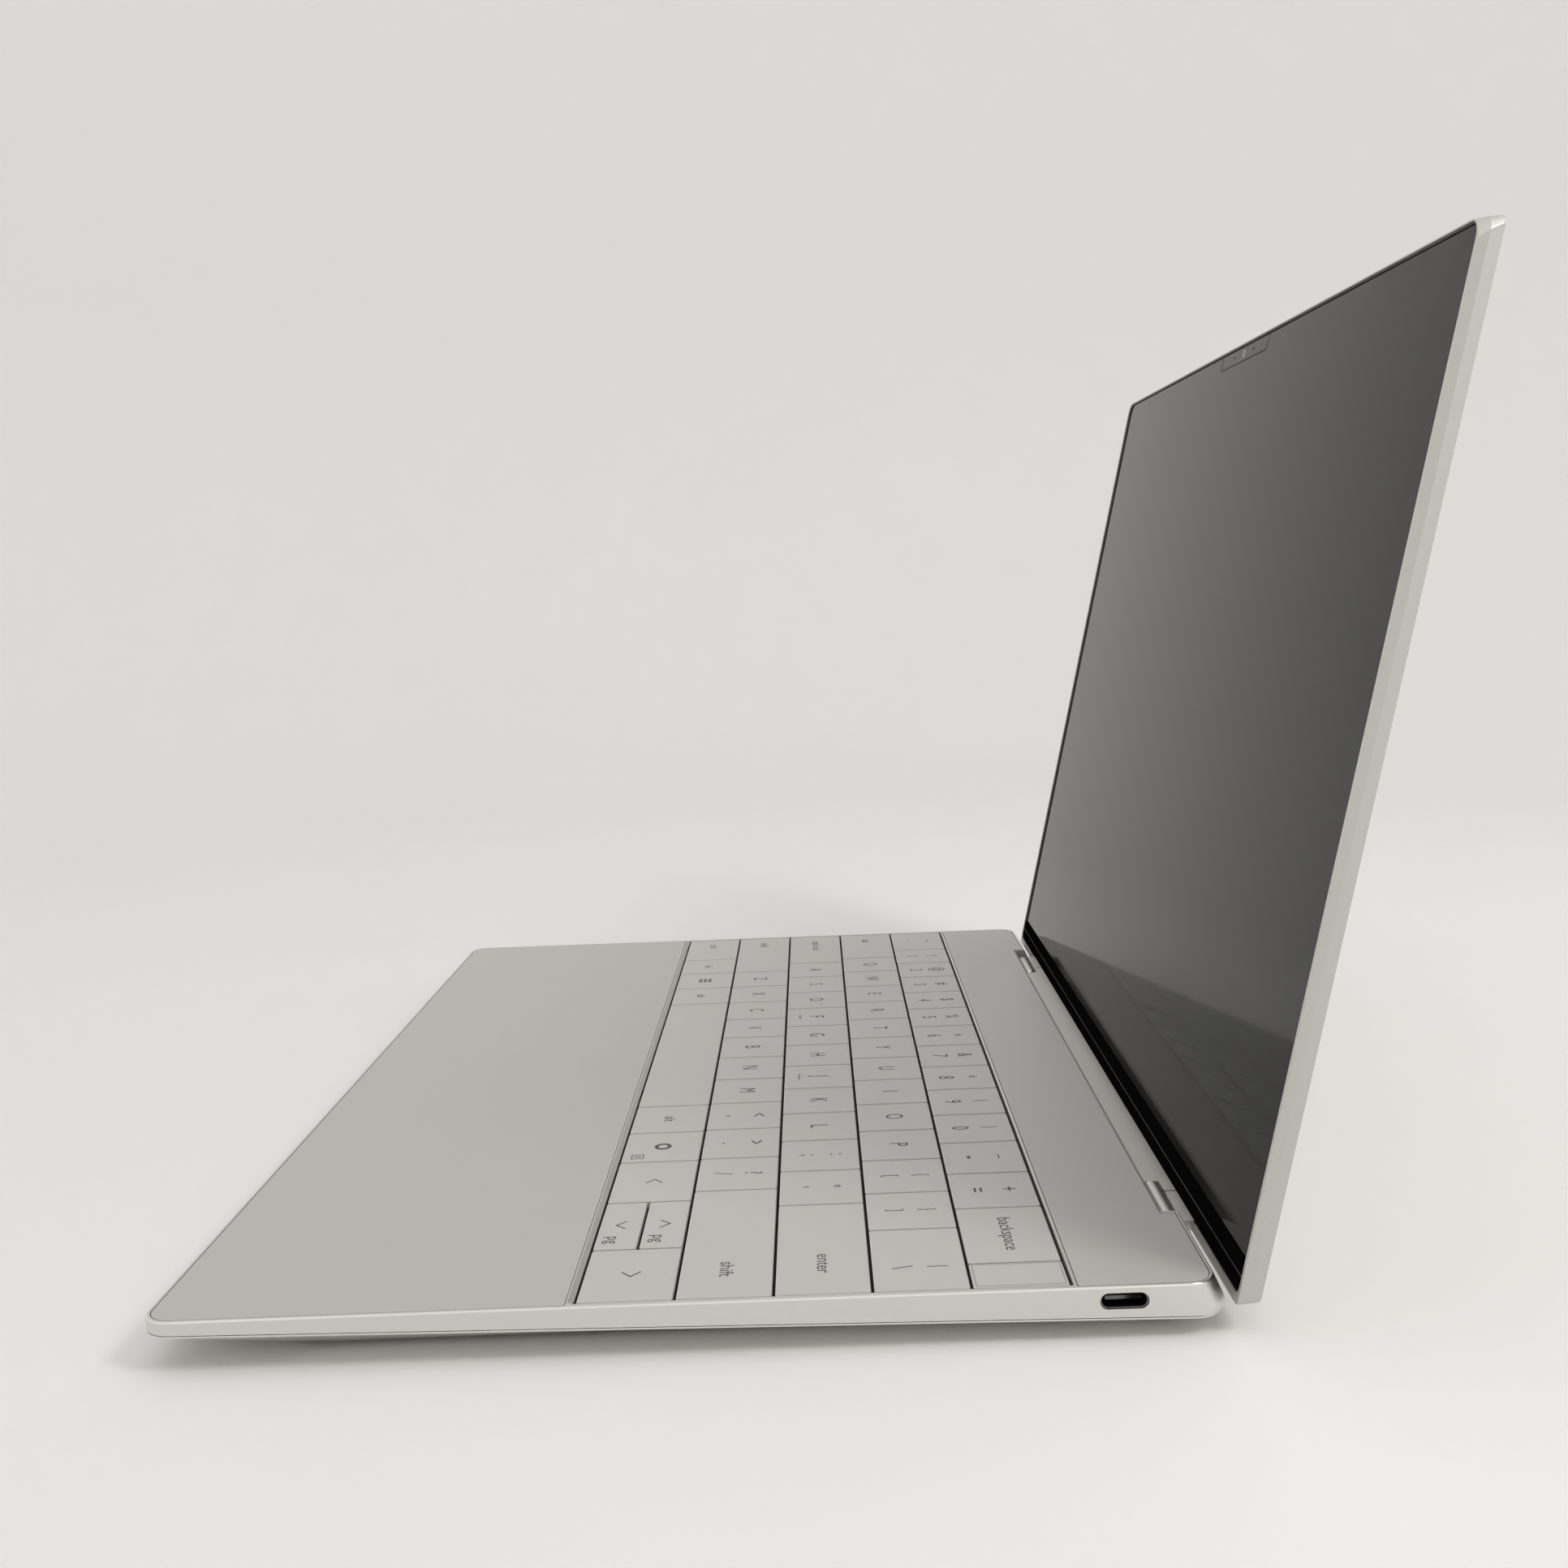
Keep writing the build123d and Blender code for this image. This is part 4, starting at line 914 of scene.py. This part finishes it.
class LAPTOP_OT_stage(bpy.types.Operator):
    """Set the floor, the lights and the camera"""
    bl_idname = "laptop.stage"
    bl_label = "Stage"

    def execute(self, context):
        scene = context.scene
        stage, colours = scene.laptop_stage, scene.laptop_colours
        scene.view_settings.view_transform = "Standard"
        paper_sweep(colours.floor)
        world = bpy.data.worlds.new("pale_surroundings")
        scene.world = world
        world.use_nodes = True
        background = world.node_tree.nodes["Background"]
        background.inputs["Color"].default_value = (*linear("FFFFFF"), 1)
        background.inputs["Strength"].default_value = stage.world
        area_light("overhead_light", (0.1, -0.1, 1.4), (0, 0, 0), 1.6, stage.key_light)
        area_light("side_light", (0.95, -0.95, 0.6), (0, 0, 0.05), 0.9, stage.side_light)
        area_light("rear_light", (0.46, 0.61, 0.75), (0.1, 0, 0), 0.25, stage.rear_light)
        camera = bpy.data.cameras.new("camera")
        camera.lens = stage.lens
        camera.sensor_width = 36
        camera.shift_x, camera.shift_y = CAMERA_SHIFT
        holder = bpy.data.objects.new("camera", camera)
        holder.location = CAMERA_PLACE
        holder.rotation_euler = Euler([radians(angle) for angle in CAMERA_TURN])
        scene.collection.objects.link(holder)
        scene.camera = holder
        return {"FINISHED"}


def paper_sweep(colour):
    """A round paper sweep: a flat floor that curves up into a wall all the way round."""
    material, tree, shader, place = new_material("matt_card")
    shade(shader, Roughness=0.75)
    grain(tree, shader, place, colour, 60 * MM, 0.01, 0.0)
    floor_radius, curve_radius, wall_top, turn_steps, curve_steps = 0.62, 0.4, 1.5, 96, 16
    profile = [(floor_radius, 0.0)]
    for i in range(1, curve_steps + 1):
        angle = i / curve_steps * pi / 2
        profile.append((floor_radius + curve_radius * sin(angle), curve_radius * (1 - cos(angle))))
    profile.append((floor_radius + curve_radius, wall_top))
    form = bmesh.new()
    centre = form.verts.new((0, 0, 0))
    loops = []
    for radius, z in profile:
        loops.append([form.verts.new((radius * cos(2 * pi * i / turn_steps),
                                      radius * sin(2 * pi * i / turn_steps), z))
                      for i in range(turn_steps)])
    for i in range(turn_steps):
        j = (i + 1) % turn_steps
        form.faces.new((centre, loops[0][i], loops[0][j]))
        for low, high in zip(loops, loops[1:]):
            form.faces.new((low[i], high[i], high[j], low[j]))
    floor = from_bmesh("paper_sweep", form)
    floor.data.materials.append(material)
    for face in floor.data.polygons:
        face.use_smooth = True
    return floor


def area_light(name, place, target, size, power):
    """A square soft light that faces a target."""
    lamp = bpy.data.lights.new(name, "AREA")
    lamp.size = size
    lamp.energy = power
    holder = bpy.data.objects.new(name, lamp)
    holder.location = place
    holder.rotation_euler = (Vector(target) - Vector(place)).to_track_quat("-Z", "Y").to_euler()
    bpy.context.scene.collection.objects.link(holder)
    return holder


class LAPTOP_PT_finish(bpy.types.Panel):
    """Lists the laptop's finishing steps"""
    bl_label = "Laptop"
    bl_space_type = "VIEW_3D"
    bl_region_type = "UI"
    bl_category = "Laptop"

    def draw(self, context):
        for step in STEPS:
            self.layout.operator(step.bl_idname)
        for key in GROUPS:
            group = getattr(context.scene, key)
            for name in group.__annotations__:
                self.layout.prop(group, name)


GROUPS = {"laptop_sizes": LaptopSizes, "laptop_colours": LaptopColours, "laptop_stage": LaptopStage}
STEPS = (LAPTOP_OT_metal, LAPTOP_OT_deck, LAPTOP_OT_legends, LAPTOP_OT_home_bars, LAPTOP_OT_display,
         LAPTOP_OT_inside, LAPTOP_OT_screws, LAPTOP_OT_ports, LAPTOP_OT_stage)


def register():
    for name, group in GROUPS.items():
        bpy.utils.register_class(group)
        setattr(bpy.types.Scene, name, PointerProperty(type=group))
    for thing in (*STEPS, LAPTOP_PT_finish):
        bpy.utils.register_class(thing)


def unregister():
    for thing in (LAPTOP_PT_finish, *reversed(STEPS)):
        bpy.utils.unregister_class(thing)
    for name, group in GROUPS.items():
        delattr(bpy.types.Scene, name)
        bpy.utils.unregister_class(group)


def main():
    """Builds every finishing step."""
    register()
    for step in STEPS:
        area, name = step.bl_idname.split(".")
        getattr(getattr(bpy.ops, area), name)()
    bpy.context.view_layer.update()


if __name__ == "__main__":
    main()
